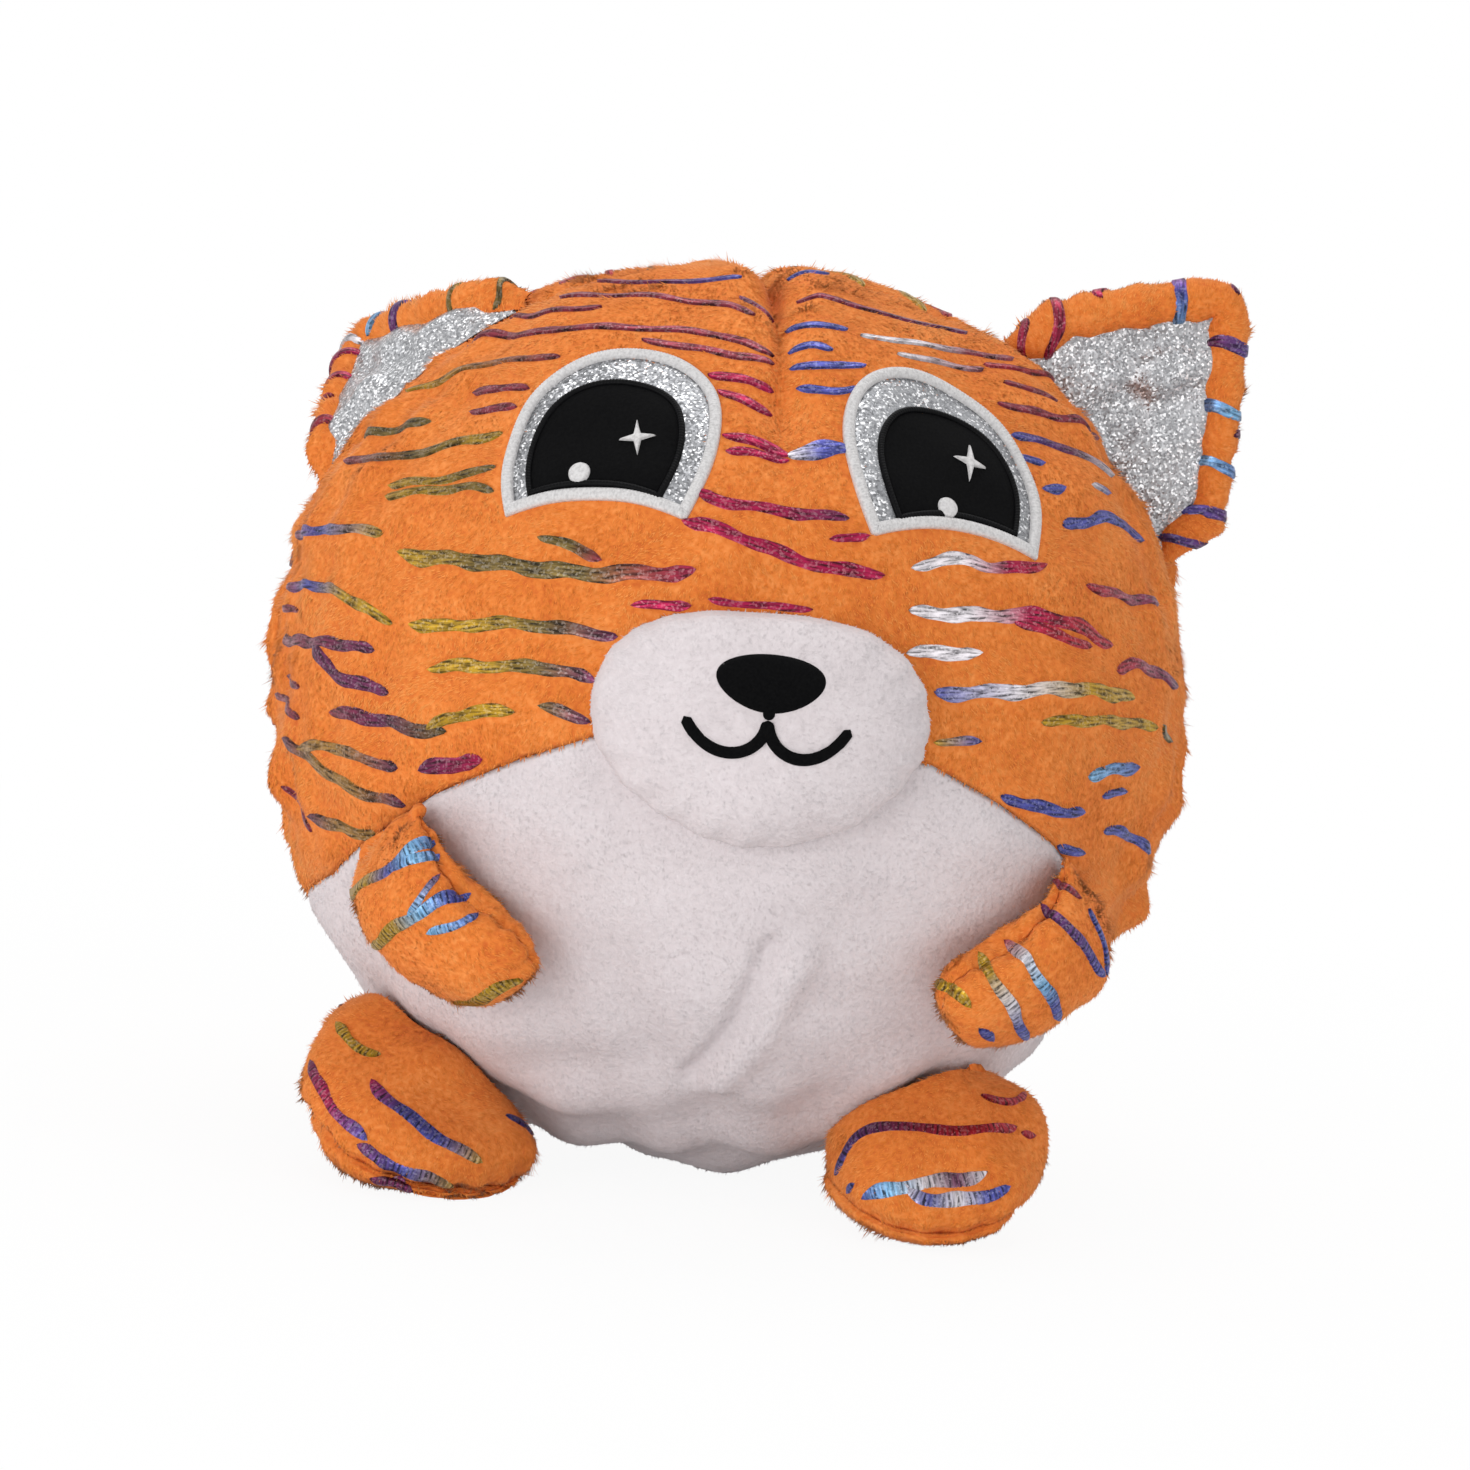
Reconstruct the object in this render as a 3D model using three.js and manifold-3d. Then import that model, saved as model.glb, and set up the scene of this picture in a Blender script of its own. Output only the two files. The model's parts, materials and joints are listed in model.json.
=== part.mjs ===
// Plush cat ball: a stuffed ball with a face, a tummy panel, two ears, two arms and two slipper feet.
// Millimetres, +Z up. The cat faces -Y and stands on z = 0. Left and right are the viewer's, left at -X.
// Each paired piece is built on the right and mirrored for the left.

import * as THREE from "three";
import { mergeVertices } from "three/addons/utils/BufferGeometryUtils.js";
import Module from "manifold-3d";

const wasm = await Module();
wasm.setup();

// Cloth and fits
const plush = 2; // plush cloth on the ball and muzzle, with its pile
const limbPlush = 1.6; // plush cloth on arms and feet
const gap = 0.3; // between pieces that touch
const seamGap = 0.6; // between panels along a seam

// Stuffed ball, measured from the level where it is widest
const ballHalfWidth = 124;
const ballHalfDepth = 118;
const ballRise = 113;
const ballDrop = 135;
const riseRoundness = 2; // exponent of the outline, 2 for an ellipse
const dropRoundness = 2.15;
const baseFlat = 0.5; // depth of the flat that the ball stands on
const ballSides = 30;
const ballBands = 15;

// Seam between face and tummy on the right, as [longitude from the face, latitude] in degrees
const tummyMiddle = [0, -1.2];
const tummyCheek = [21.6, -1.8];
const tummyShoulder = [31.7, -6.4];
const tummyCorner = [44.2, -12.9];
const tummyFlank = [49.5, -16.6]; // the arm is sewn in here
const tummyHip = [69, -27.5];
const tummySide = [90, -34];
const sideSeamLean = 2; // degrees that the side seam slants back toward the base
const dartEnd = 41.3; // latitude where the dart from the crown ends

// Muzzle: a padded oval, wider above than below
const muzzleLatitude = 1.3;
const muzzleHalfWidth = 46.5;
const muzzleHalfHeight = 31.5;
const muzzleDepth = 22;
const muzzleUpperRoundness = 2.3;
const muzzleLowerRoundness = 1.7;
const muzzleCrown = 2.2; // a larger exponent makes a flatter crown
const muzzleEdge = 0.6; // a smaller exponent makes a steeper edge
const muzzleSides = 26;
const muzzleRings = 4;

// Nose and mouth, heat-set on the muzzle
const transfer = 0.5; // thickness
const noseHalfWidth = 11.2;
const noseHalfHeight = 5.9;
const noseRise = 12.8; // centre above the muzzle's centre
const noseTaper = 0.15; // share by which the nose widens at the top and narrows at the bottom
const mouthLine = 3;
const mouthEnd = [17, 2.7];
const mouthDip = [8.5, -8]; // control point of the smile's curve
const mouthMeet = 1.6; // height where the two smiles meet
const mouthSteps = 8;

// Eyes: embroidered patches
const eyeLongitude = 28.5;
const eyeLatitude = 37.4;
const eyeWidth = 56;
const eyeHeight = 59;
const pupilWidth = 39.5;
const pupilHeight = 35.5;
const pupilShift = [-0.5, -0.8]; // outward and up from the eye's centre
const stitchWidth = 4.6;
const stitchHeight = 2.2;
// Outline of the stitch across the seam, as shares of its width and height
const stitchSection = [[0, 0], [0.15, 0.75], [0.5, 1], [0.85, 0.75], [1, 0]];
const patch = 0.6; // thickness of a cloth patch
const starPlace = [7.5, 0.5]; // to the right and up in both eyes
const starHalfHeight = 6;
const starHalfWidth = 4.8;
const starWaist = 0.9; // half width of the star between its points
const starTilt = 21; // degrees that each star leans outward
const dotPlace = [-3.9, -12.9];
const dotRadius = 3.1;
const dotSides = 12;

// Ears: a cloth triangle with a rolled rim, hinged on the side seam
const earLatitude = 38;
const earUpperReach = 34; // along the seam from the hinge's middle, up
const earLowerReach = 42; // and down
const earHeight = 46; // to the middle of the rim at the tip
const earTipShift = 6;
const earTipRound = 9;
const earBow = 3; // how far the edges bow outward
const earHinge = 1.5; // height of the fold over the skin
const earGap = 0.8; // between ear and ball, so that the ear swings clear
const rimRadius = 6;
const rimRootRadius = 3.4;
const rimSlope = 0.45; // how fast the rim thickens away from its root
const rimSides = 8;
const rimSteps = 14;
const earLining = 0.8;
const liningShare = 0.63; // size of the lining beside the rim's outline
const leftEarLean = 80; // degrees that each ear leans back at rest
const rightEarLean = 6;

// Arms: sausages sewn into the tummy seam, lying on the tummy
const armLength = 56;
const armHalfWidth = 18;
const armHalfThickness = 13;
const armRootHalfWidth = 14.5;
const armRootHalfThickness = 2.3;
const armSlant = 12; // degrees that the arm slants inward from square to its seam
const armSwell = 0.42; // share of the length where the arm is fullest
const armSteps = 8;
const armTipSteps = 4;
const armCrowding = 1.6; // over 1 sets the steps closer together at the root
const armSides = 5; // facets on each half

// Feet: padded slippers under the ball's front
const leftFootLongitude = 50; // the feet lie turned a little to the left
const rightFootLongitude = 38;
const footHinge = 17; // height of the seam that holds the foot
const footHalfLength = 32.5;
const footHalfWidth = 31.5;
const footBack = 2; // how far the foot reaches behind its hinge
const footSeam = 10; // height of the seam between upper and sole
const footDome = 34; // rise of the upper over that seam
const footRake = 0.25; // how much higher the upper is at the heel
const footSplay = 0.3; // how far the upper leans outward for its height
const soleShare = 0.86; // width of the sole's flat beside the foot's
const footSides = 18;
const footRings = 4;

const turn = THREE.MathUtils.degToRad;
const materials = {
  orangePlush: new THREE.MeshStandardMaterial({ color: "#e8843a", roughness: 0.95, metalness: 0 }),
  whitePlush: new THREE.MeshStandardMaterial({ color: "#e9e4e4", roughness: 0.95, metalness: 0 }),
  glitterCloth: new THREE.MeshStandardMaterial({ color: "#b9babd", roughness: 0.4, metalness: 0.6 }),
  blackCloth: new THREE.MeshStandardMaterial({ color: "#121214", roughness: 0.8, metalness: 0 }),
  whiteThread: new THREE.MeshStandardMaterial({ color: "#f2f1f0", roughness: 0.6, metalness: 0 }),
  polyesterFill: new THREE.MeshStandardMaterial({ color: "#f7f7f5", roughness: 1, metalness: 0 }),
};

// Meshes and solids

/** A closed geometry with its faces turned outward. */
function closed(points, faces) {
  const corners = faces.map((i) => points[i]);
  let volume = 0;
  for (let i = 0; i < corners.length; i += 3) {
    const normal = new THREE.Vector3().crossVectors(corners[i + 1], corners[i + 2]);
    volume += corners[i].dot(normal);
  }
  if (volume < 0) faces.reverse();
  const geometry = new THREE.BufferGeometry().setFromPoints(points);
  geometry.setIndex(faces);
  return geometry;
}

/** Joins rings of points into a closed skin: the ends close on two caps or, with none, on each other. */
function loft(rings, caps) {
  const count = rings[0].length;
  const points = rings.flat();
  const faces = [];
  const bands = caps ? rings.length - 1 : rings.length;
  for (let band = 0; band < bands; band++) {
    const low = band * count;
    const high = ((band + 1) % rings.length) * count;
    for (let i = 0; i < count; i++) {
      const next = (i + 1) % count;
      faces.push(low + i, low + next, high + next, low + i, high + next, high + i);
    }
  }
  if (caps) {
    const last = (rings.length - 1) * count;
    points.push(...caps);
    for (let i = 0; i < count; i++) {
      const next = (i + 1) % count;
      faces.push(points.length - 2, next, i, points.length - 1, last + i, last + next);
    }
  }
  return closed(points, faces);
}

/** A sheet between two grids of points, rows by columns, closed all round its edge. */
function slab(top, bottom) {
  const ring = (row, under) => [...row, ...under.slice().reverse()];
  const rings = top.map((row, i) => ring(row, bottom[i]));
  const count = rings[0].length;
  const points = rings.flat();
  const faces = [];
  for (let band = 0; band < rings.length - 1; band++) {
    const low = band * count;
    const high = low + count;
    for (let i = 0; i < count; i++) {
      const next = (i + 1) % count;
      faces.push(low + i, low + next, high + next, low + i, high + next, high + i);
    }
  }
  const last = (rings.length - 1) * count;
  for (let i = 0; i < count / 2 - 1; i++) {
    const under = count - 1 - i;
    faces.push(i, under, i + 1, i + 1, under, under - 1);
    faces.push(last + i, last + i + 1, last + under, last + i + 1, last + under - 1, last + under);
  }
  return closed(points, faces);
}

/** A box between two corners. */
function box(low, high) {
  const size = new THREE.Vector3().subVectors(high, low);
  const middle = new THREE.Vector3().addVectors(low, high).multiplyScalar(0.5);
  return new THREE.BoxGeometry(size.x, size.y, size.z).translate(middle.x, middle.y, middle.z);
}

/** A geometry as a solid that can be joined and cut. */
function solid(geometry) {
  const bare = geometry.clone();
  bare.deleteAttribute("normal");
  bare.deleteAttribute("uv");
  const merged = mergeVertices(bare, 1e-4);
  return new wasm.Manifold(
    new wasm.Mesh({
      numProp: 3,
      vertProperties: merged.attributes.position.array,
      triVerts: new Uint32Array(merged.index.array),
    }),
  );
}

/** A solid back as a geometry. */
function geometryOf(made) {
  const mesh = made.getMesh();
  const geometry = new THREE.BufferGeometry();
  geometry.setAttribute("position", new THREE.BufferAttribute(mesh.vertProperties, 3));
  geometry.setIndex(new THREE.BufferAttribute(mesh.triVerts, 1));
  return geometry;
}

/** Adds one named piece to a group. */
function add(parent, name, geometry, material) {
  geometry.computeVertexNormals();
  const mesh = new THREE.Mesh(geometry, material);
  mesh.name = name;
  parent.add(mesh);
}

const steps = (count) => Array.from({ length: count + 1 }, (_, i) => i / count);
const aroundRing = (count) => Array.from({ length: count }, (_, i) => (2 * Math.PI * i) / count);

// The ball's skin

const ballMiddle = new THREE.Vector3(0, 0, ballDrop - baseFlat);

/** Unit direction from the ball's middle, in degrees: longitude from the face toward +X, latitude upward. */
function direction(longitude, latitude) {
  const lon = turn(longitude);
  const lat = turn(latitude);
  return new THREE.Vector3(Math.sin(lon) * Math.cos(lat), -Math.cos(lon) * Math.cos(lat), Math.sin(lat));
}

/** Distance from the ball's middle to its skin: a rounded ellipsoid with unlike halves. */
function ballRadius(way) {
  const height = way.z > 0 ? ballRise : ballDrop;
  const roundness = way.z > 0 ? riseRoundness : dropRoundness;
  const level = Math.hypot(way.x / ballHalfWidth, way.y / ballHalfDepth);
  return (level ** roundness + Math.abs(way.z / height) ** roundness) ** (-1 / roundness);
}

/** Point on the skin, or lifted over it, along a unit direction. */
function onBall(way, lift = 0) {
  return way.clone().multiplyScalar(ballRadius(way) + lift).add(ballMiddle);
}

/** Outward normal of the skin along a unit direction: the gradient of the ball's formula. */
function ballNormal(way) {
  const height = way.z > 0 ? ballRise : ballDrop;
  const roundness = way.z > 0 ? riseRoundness : dropRoundness;
  const level = Math.hypot(way.x / ballHalfWidth, way.y / ballHalfDepth) ** (roundness - 2);
  const rise = (Math.sign(way.z) * Math.abs(way.z) ** (roundness - 1)) / height ** roundness;
  const across = (level * way.x) / ballHalfWidth ** 2;
  const along = (level * way.y) / ballHalfDepth ** 2;
  return new THREE.Vector3(across, along, rise).normalize();
}

/** The ball as a geometry, grown or shrunk by a lift. */
function ballShape(lift) {
  const latitudes = steps(ballBands).slice(1, -1).map((share) => -90 + 180 * share);
  const longitudes = aroundRing(ballSides).map(THREE.MathUtils.radToDeg);
  const rings = latitudes.map((lat) => longitudes.map((lon) => onBall(direction(lon, lat), lift)));
  return loft(rings, [onBall(direction(0, -90), lift), onBall(direction(0, 90), lift)]);
}

/** A frame on the skin: turns places across and up, in millimetres, and a lift into points over the skin. */
function skinFrame(longitude, latitude) {
  const out = direction(longitude, latitude);
  const across = direction(longitude + 90, 0);
  const up = direction(longitude, latitude + 90);
  const reach = ballRadius(out);
  return (u, v, lift) => {
    const way = out.clone().multiplyScalar(reach).addScaledVector(across, u).addScaledVector(up, v);
    return onBall(way.normalize(), lift);
  };
}

// Ball: four panels round the stuffing

const far = 2 * (ballHalfWidth + ballHalfDepth);

/** The tummy's outline seen from the front, pushed back through the front half. */
function tummyPrism(raise) {
  const half = [tummyCheek, tummyShoulder, tummyCorner, tummyFlank, tummyHip, tummySide];
  const right = half.map(([lon, lat]) => onBall(direction(lon, lat)));
  const middle = onBall(direction(...tummyMiddle));
  const end = right.at(-1);
  const outline = new THREE.Shape();
  outline.moveTo(0, middle.z);
  right.forEach((p) => outline.lineTo(p.x, p.z));
  outline.lineTo(far, end.z - (far - end.x) / 2);
  outline.lineTo(far, -far);
  outline.lineTo(-far, -far);
  outline.lineTo(-far, end.z - (far - end.x) / 2);
  right.reverse().forEach((p) => outline.lineTo(-p.x, p.z));
  const prism = new THREE.ExtrudeGeometry(outline, { depth: far, bevelEnabled: false });
  return solid(prism.rotateX(Math.PI / 2).translate(0, far / 2, raise));
}

function addBall(parent) {
  const below = solid(box(new THREE.Vector3(-far, -far, -far), new THREE.Vector3(far, far, 0)));
  const skin = solid(ballShape(0)).subtract(solid(ballShape(-plush))).subtract(below);
  const half = seamGap / 2;
  const crown = onBall(direction(0, 90));
  const side = (low, high) =>
    solid(box(low, high).rotateX(turn(sideSeamLean)).translate(crown.x, crown.y, crown.z));
  const front = skin.intersect(side(new THREE.Vector3(-far, -far, -far), new THREE.Vector3(far, -half, far)));
  const leftBack = side(new THREE.Vector3(-far, half, -far), new THREE.Vector3(-half, far, far));
  const rightBack = side(new THREE.Vector3(half, half, -far), new THREE.Vector3(far, far, far));
  const dartPoint = onBall(direction(0, dartEnd), -plush);
  const dart = solid(
    box(new THREE.Vector3(-half, dartPoint.y, dartPoint.z), new THREE.Vector3(half, far, far)),
  );
  add(parent, "body_stuffing", ballShape(-plush - gap), materials.polyesterFill);
  const face = front.subtract(tummyPrism(seamGap)).subtract(dart);
  add(parent, "face_panel", geometryOf(face), materials.orangePlush);
  add(parent, "tummy_panel", geometryOf(front.intersect(tummyPrism(0))), materials.whitePlush);
  add(parent, "back_left_panel", geometryOf(skin.intersect(leftBack)), materials.orangePlush);
  add(parent, "back_right_panel", geometryOf(skin.intersect(rightBack)), materials.orangePlush);
}

// Muzzle, nose and mouth

const onMuzzle = skinFrame(0, muzzleLatitude);

/** Edge of the muzzle, drawn in by an inset: two half superellipses. */
function muzzleRim(angle, inset) {
  const roundness = Math.sin(angle) > 0 ? muzzleUpperRoundness : muzzleLowerRoundness;
  const bend = (value) => Math.sign(value) * Math.abs(value) ** (2 / roundness);
  const u = (muzzleHalfWidth - inset) * bend(Math.cos(angle));
  const v = (muzzleHalfHeight - inset) * bend(Math.sin(angle));
  return new THREE.Vector2(u, v);
}

/** Height of the muzzle's pillow at a share of the way from its middle to its edge. */
function pillow(share, inset) {
  return gap + (muzzleDepth - inset) * Math.max(0, 1 - share ** muzzleCrown) ** muzzleEdge;
}

/** Height of the muzzle's outer skin at a place in its frame. */
function muzzleLift(u, v) {
  const roundness = v > 0 ? muzzleUpperRoundness : muzzleLowerRoundness;
  const across = Math.abs(u / muzzleHalfWidth) ** roundness;
  const up = Math.abs(v / muzzleHalfHeight) ** roundness;
  return pillow((across + up) ** (1 / roundness), 0);
}

/** Rings of the muzzle's pillow from its crown outward, and the crown's point. */
function muzzleDome(inset, height) {
  const shares = steps(muzzleRings).slice(1);
  const rings = shares.map((share) =>
    aroundRing(muzzleSides).map((angle) => {
      const rim = muzzleRim(angle, inset);
      return onMuzzle(rim.x * share, rim.y * share, height(share, inset));
    }),
  );
  return { rings, crown: onMuzzle(0, 0, height(0, inset)) };
}

function addMuzzle(parent) {
  const outer = muzzleDome(0, pillow);
  const inner = muzzleDome(plush, pillow);
  const fill = muzzleDome(plush + gap, pillow);
  const back = muzzleDome(plush + gap, () => gap);
  const between = (over, under) =>
    loft([...over.rings, ...under.rings.slice().reverse()], [over.crown, under.crown]);
  add(parent, "muzzle_cover", between(outer, inner), materials.whitePlush);
  add(parent, "muzzle_stuffing", between(fill, back), materials.polyesterFill);
  const nose = aroundRing(muzzleSides).map((angle) => {
    const width = noseHalfWidth * (1 + noseTaper * Math.sin(angle));
    return new THREE.Vector2(width * Math.cos(angle), noseRise + noseHalfHeight * Math.sin(angle));
  });
  const low = (u, v) => muzzleLift(u, v) + gap;
  const high = (u, v) => low(u, v) + transfer;
  add(parent, "nose_patch", patchShape(nose, onMuzzle, low, high, 2), materials.blackCloth);
  const meet = new THREE.Vector2(0, mouthMeet);
  const smile = (side) =>
    new THREE.QuadraticBezierCurve(
      meet,
      new THREE.Vector2(side * mouthDip[0], mouthDip[1]),
      new THREE.Vector2(side * mouthEnd[0], mouthEnd[1]),
    );
  const stem = new THREE.LineCurve(meet, new THREE.Vector2(0, noseRise - noseHalfHeight - gap));
  const lines = [smile(-1), smile(1), stem].map((curve) => solid(lineShape(curve, low, high)));
  add(parent, "mouth_patch", geometryOf(lines[0].add(lines[1]).add(lines[2])), materials.blackCloth);
}

/** A line of the mouth: a flat strip along a curve on the muzzle. */
function lineShape(curve, low, high) {
  const half = mouthLine / 2;
  const rings = steps(mouthSteps).map((share) => {
    const p = curve.getPoint(share);
    const side = curve.getTangent(share).rotateAround(new THREE.Vector2(), Math.PI / 2).multiplyScalar(half);
    const left = p.clone().add(side);
    const right = p.clone().sub(side);
    return [
      onMuzzle(left.x, left.y, low(left.x, left.y)),
      onMuzzle(left.x, left.y, high(left.x, left.y)),
      onMuzzle(p.x, p.y, high(p.x, p.y)),
      onMuzzle(right.x, right.y, high(right.x, right.y)),
      onMuzzle(right.x, right.y, low(right.x, right.y)),
      onMuzzle(p.x, p.y, low(p.x, p.y)),
    ];
  });
  const ends = [rings[0], rings.at(-1)].map((ring) => ring[2].clone().add(ring[5]).multiplyScalar(0.5));
  return loft(rings, ends);
}

/** A cloth patch inside an outline: rings shrink to its middle on an upper and a lower side. */
function patchShape(outline, place, low, high, count) {
  const middle = outline.reduce((sum, p) => sum.add(p), new THREE.Vector2()).divideScalar(outline.length);
  const ring = (share, lift) =>
    outline.map((p) => {
      const q = middle.clone().lerp(p, share);
      return place(q.x, q.y, lift(q.x, q.y));
    });
  const shares = steps(count).slice(1);
  const top = shares.map((share) => ring(share, high));
  const bottom = shares.map((share) => ring(share, low)).reverse();
  const ends = [high, low].map((lift) => place(middle.x, middle.y, lift(middle.x, middle.y)));
  return loft([...top, ...bottom], ends);
}

// Eyes

/** Eye outline: a tall dome over a slightly arched lower edge, its outer corner lower than its inner one. */
function eyeOutline(width, height) {
  const at = (u, v) => [u * width, v * height];
  const outer = at(0.39, -0.45);
  const inner = at(-0.5, -0.315);
  const top = at(0.02, 0.55);
  const shape = new THREE.Shape();
  shape.moveTo(...outer);
  shape.bezierCurveTo(...at(0.55, -0.1), ...at(0.47, 0.55), ...top);
  shape.bezierCurveTo(...at(-0.4, 0.55), ...at(-0.56, 0.1), ...inner);
  shape.quadraticCurveTo(...at(-0.05, -0.29), ...outer);
  return shape.getPoints(9).slice(0, -1);
}

/** An outline drawn in by a distance, along the middle of the two edges at each point. */
function drawnIn(outline, distance) {
  return outline.map((p, i) => {
    const before = outline.at(i - 1);
    const after = outline[(i + 1) % outline.length];
    const first = p.clone().sub(before).normalize();
    const second = after.clone().sub(p).normalize();
    const inward = new THREE.Vector2(-first.y - second.y, first.x + second.x).normalize();
    const spread = Math.max(0.5, -first.y * inward.x + first.x * inward.y);
    return p.clone().addScaledVector(inward, distance / spread);
  });
}

/** Centre of a highlight: the mirrored left eye takes its place the other way round. */
function highlightCentre([u, v], side) {
  return new THREE.Vector2(side === "left" ? -u : u, v);
}

function starOutline(side) {
  const points = [];
  const reach = [starHalfWidth, starHalfHeight, starHalfWidth, starHalfHeight];
  reach.forEach((length, i) => {
    const angle = (i * Math.PI) / 2;
    const between = angle + Math.PI / 4;
    points.push(new THREE.Vector2(length * Math.cos(angle), length * Math.sin(angle)));
    points.push(new THREE.Vector2(starWaist * Math.cos(between), starWaist * Math.sin(between)));
  });
  const lean = turn(-starTilt);
  return points.map((p) => p.rotateAround(new THREE.Vector2(), lean).add(highlightCentre(starPlace, side)));
}

function dotOutline(side) {
  const centre = highlightCentre(dotPlace, side);
  return aroundRing(dotSides).map((angle) =>
    new THREE.Vector2(dotRadius * Math.cos(angle), dotRadius * Math.sin(angle)).add(centre),
  );
}

function addEye(parent, side) {
  const place = skinFrame(eyeLongitude, eyeLatitude);
  const level = (lift) => () => lift;
  const rim = eyeOutline(eyeWidth, eyeHeight);
  const glitter = drawnIn(rim, stitchWidth + gap);
  const pupil = eyeOutline(pupilWidth, pupilHeight).map((p) => p.add(new THREE.Vector2(...pupilShift)));
  const layer = (name, outline, under, rings, material) => {
    const base = gap + under * (gap + patch);
    const shape = patchShape(outline, place, level(base), level(base + patch), rings);
    add(parent, `${side}_eye_${name}`, shape, material);
  };
  layer("glitter_patch", glitter, 0, 3, materials.glitterCloth);
  layer("pupil_patch", pupil, 1, 2, materials.blackCloth);
  layer("star_highlight", starOutline(side), 2, 1, materials.whiteThread);
  layer("dot_highlight", dotOutline(side), 2, 1, materials.whiteThread);
  const inner = drawnIn(rim, stitchWidth);
  const rings = rim.map((p, i) => {
    const q = inner[i];
    const over = (share, lift) => place(p.x + (q.x - p.x) * share, p.y + (q.y - p.y) * share, lift);
    return stitchSection.map(([share, rise]) => over(share, gap + rise * (stitchHeight - gap)));
  });
  add(parent, `${side}_eye_border_stitch`, loft(rings), materials.whiteThread);
}

// Ears

/** Places a limb's group on the ball: local x along its hinge, y along the limb, z square to both. */
function hingeGroup(parent, origin, along, away) {
  const out = new THREE.Vector3().crossVectors(along, away);
  const group = new THREE.Group();
  group.applyMatrix4(new THREE.Matrix4().makeBasis(along, away, out).setPosition(origin));
  parent.add(group);
  return group;
}

/** The ball, grown by a lift, seen from a limb's group. */
function ballFrom(group, lift) {
  group.updateMatrix();
  return solid(ballShape(lift).applyMatrix4(group.matrix.clone().invert()));
}

/** Middle line of the ear's rim, from its upper root over the tip to its lower root. */
function rimLine() {
  const upper = new THREE.Vector2(earUpperReach, 0);
  const lower = new THREE.Vector2(-earLowerReach, 0);
  const tip = new THREE.Vector2(earTipShift, earHeight + earTipRound / 2);
  const line = new THREE.Path();
  const edge = (root) => {
    const near = tip.clone().addScaledVector(root.clone().sub(tip).normalize(), earTipRound);
    const middle = root.clone().lerp(near, 0.5);
    middle.x += Math.sign(root.x) * earBow;
    return { near, middle };
  };
  const first = edge(upper);
  const second = edge(lower);
  line.moveTo(upper.x, upper.y - rimRadius);
  line.lineTo(upper.x, upper.y);
  line.quadraticCurveTo(first.middle.x, first.middle.y, first.near.x, first.near.y);
  line.quadraticCurveTo(tip.x, tip.y, second.near.x, second.near.y);
  line.quadraticCurveTo(second.middle.x, second.middle.y, lower.x, lower.y);
  line.lineTo(lower.x, lower.y - rimRadius);
  return line;
}

/** The rolled rim as a tube that thins toward its roots. */
function rimShape(line) {
  const rings = steps(rimSteps).map((share) => {
    const p = line.getPointAt(share);
    const side = line.getTangentAt(share).rotateAround(new THREE.Vector2(), Math.PI / 2);
    const radius = Math.min(rimRadius, rimRootRadius + rimSlope * Math.max(0, p.y));
    return aroundRing(rimSides).map((angle) => {
      const across = radius * Math.cos(angle);
      return new THREE.Vector3(p.x + side.x * across, p.y + side.y * across, radius * Math.sin(angle));
    });
  });
  const ends = [0, 1].map((share) => new THREE.Vector3(...line.getPointAt(share), 0));
  return solid(loft(rings, ends));
}

/** A flat sheet inside an outline. */
function earSheet(outline, front, thickness) {
  const shape = new THREE.Shape(outline);
  const sheet = new THREE.ExtrudeGeometry(shape, { depth: thickness, bevelEnabled: false });
  return solid(sheet.translate(0, 0, front));
}

function addEar(parent, side, lean) {
  const seat = direction(90, earLatitude);
  const away = ballNormal(seat);
  const along = new THREE.Vector3(0, -1, 0).cross(away).normalize();
  const origin = onBall(seat).addScaledVector(away, earHinge);
  const group = hingeGroup(parent, origin, along, away);
  const ear = new THREE.Group();
  ear.rotation.x = turn(lean);
  group.add(ear);
  const line = rimLine();
  const ball = ballFrom(group, earGap);
  const outline = line.getSpacedPoints(rimSteps);
  const cover = rimShape(line).add(earSheet(outline, -plush / 2, plush)).subtract(ball);
  const front = -plush / 2 - gap - earLining;
  const middle = new THREE.Vector2((earUpperReach - earLowerReach + earTipShift) / 3, earHeight / 3);
  const inside = outline.map((p) => middle.clone().lerp(p, liningShare));
  const lining = earSheet(inside, front, earLining);
  add(ear, `${side}_ear_cover`, geometryOf(cover), materials.orangePlush);
  add(ear, `${side}_ear_lining`, geometryOf(lining), materials.glitterCloth);
}

// Arms

/** Rows along the arm: even steps to where the tip starts, then round the tip, drawn in by an inset. */
function armRows(inset) {
  const straight = armLength - armHalfWidth;
  const body = steps(armSteps).map((share) => ({ distance: share ** armCrowding * straight, close: 1 }));
  const tip = steps(armTipSteps).slice(1).map((share) => {
    const angle = (share * Math.PI) / 2;
    return { distance: straight + (armHalfWidth - inset) * Math.sin(angle), close: Math.cos(angle) };
  });
  return [...body, ...tip];
}

/** Rows of points along half the arm: over it for side 1, under it for side -1. */
function armGrid(group, side, inset) {
  const inverse = group.matrix.clone().invert();
  return armRows(inset).map(({ distance, close }) => {
    const swell = Math.sin((Math.min(1, distance / (armSwell * armLength)) * Math.PI) / 2);
    const width = armRootHalfWidth + (armHalfWidth - armRootHalfWidth) * swell;
    const thickness = armRootHalfThickness + (armHalfThickness - armRootHalfThickness) * swell;
    const place = new THREE.Vector3(distance * Math.tan(turn(armSlant)), distance, 0);
    const over = place.applyMatrix4(group.matrix).sub(ballMiddle).normalize();
    const normal = ballNormal(over);
    const seat = onBall(over).addScaledVector(normal, gap + thickness).applyMatrix4(inverse);
    const out = normal.transformDirection(inverse);
    return steps(armSides).map((part) => {
      const angle = part * Math.PI;
      const across = (width - inset) * close * Math.cos(angle);
      const rise = side * ((thickness - inset) * close * Math.sin(angle) + gap / 2);
      return seat.clone().addScaledVector(out, rise).add(new THREE.Vector3(across, 0, 0));
    });
  });
}

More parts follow.
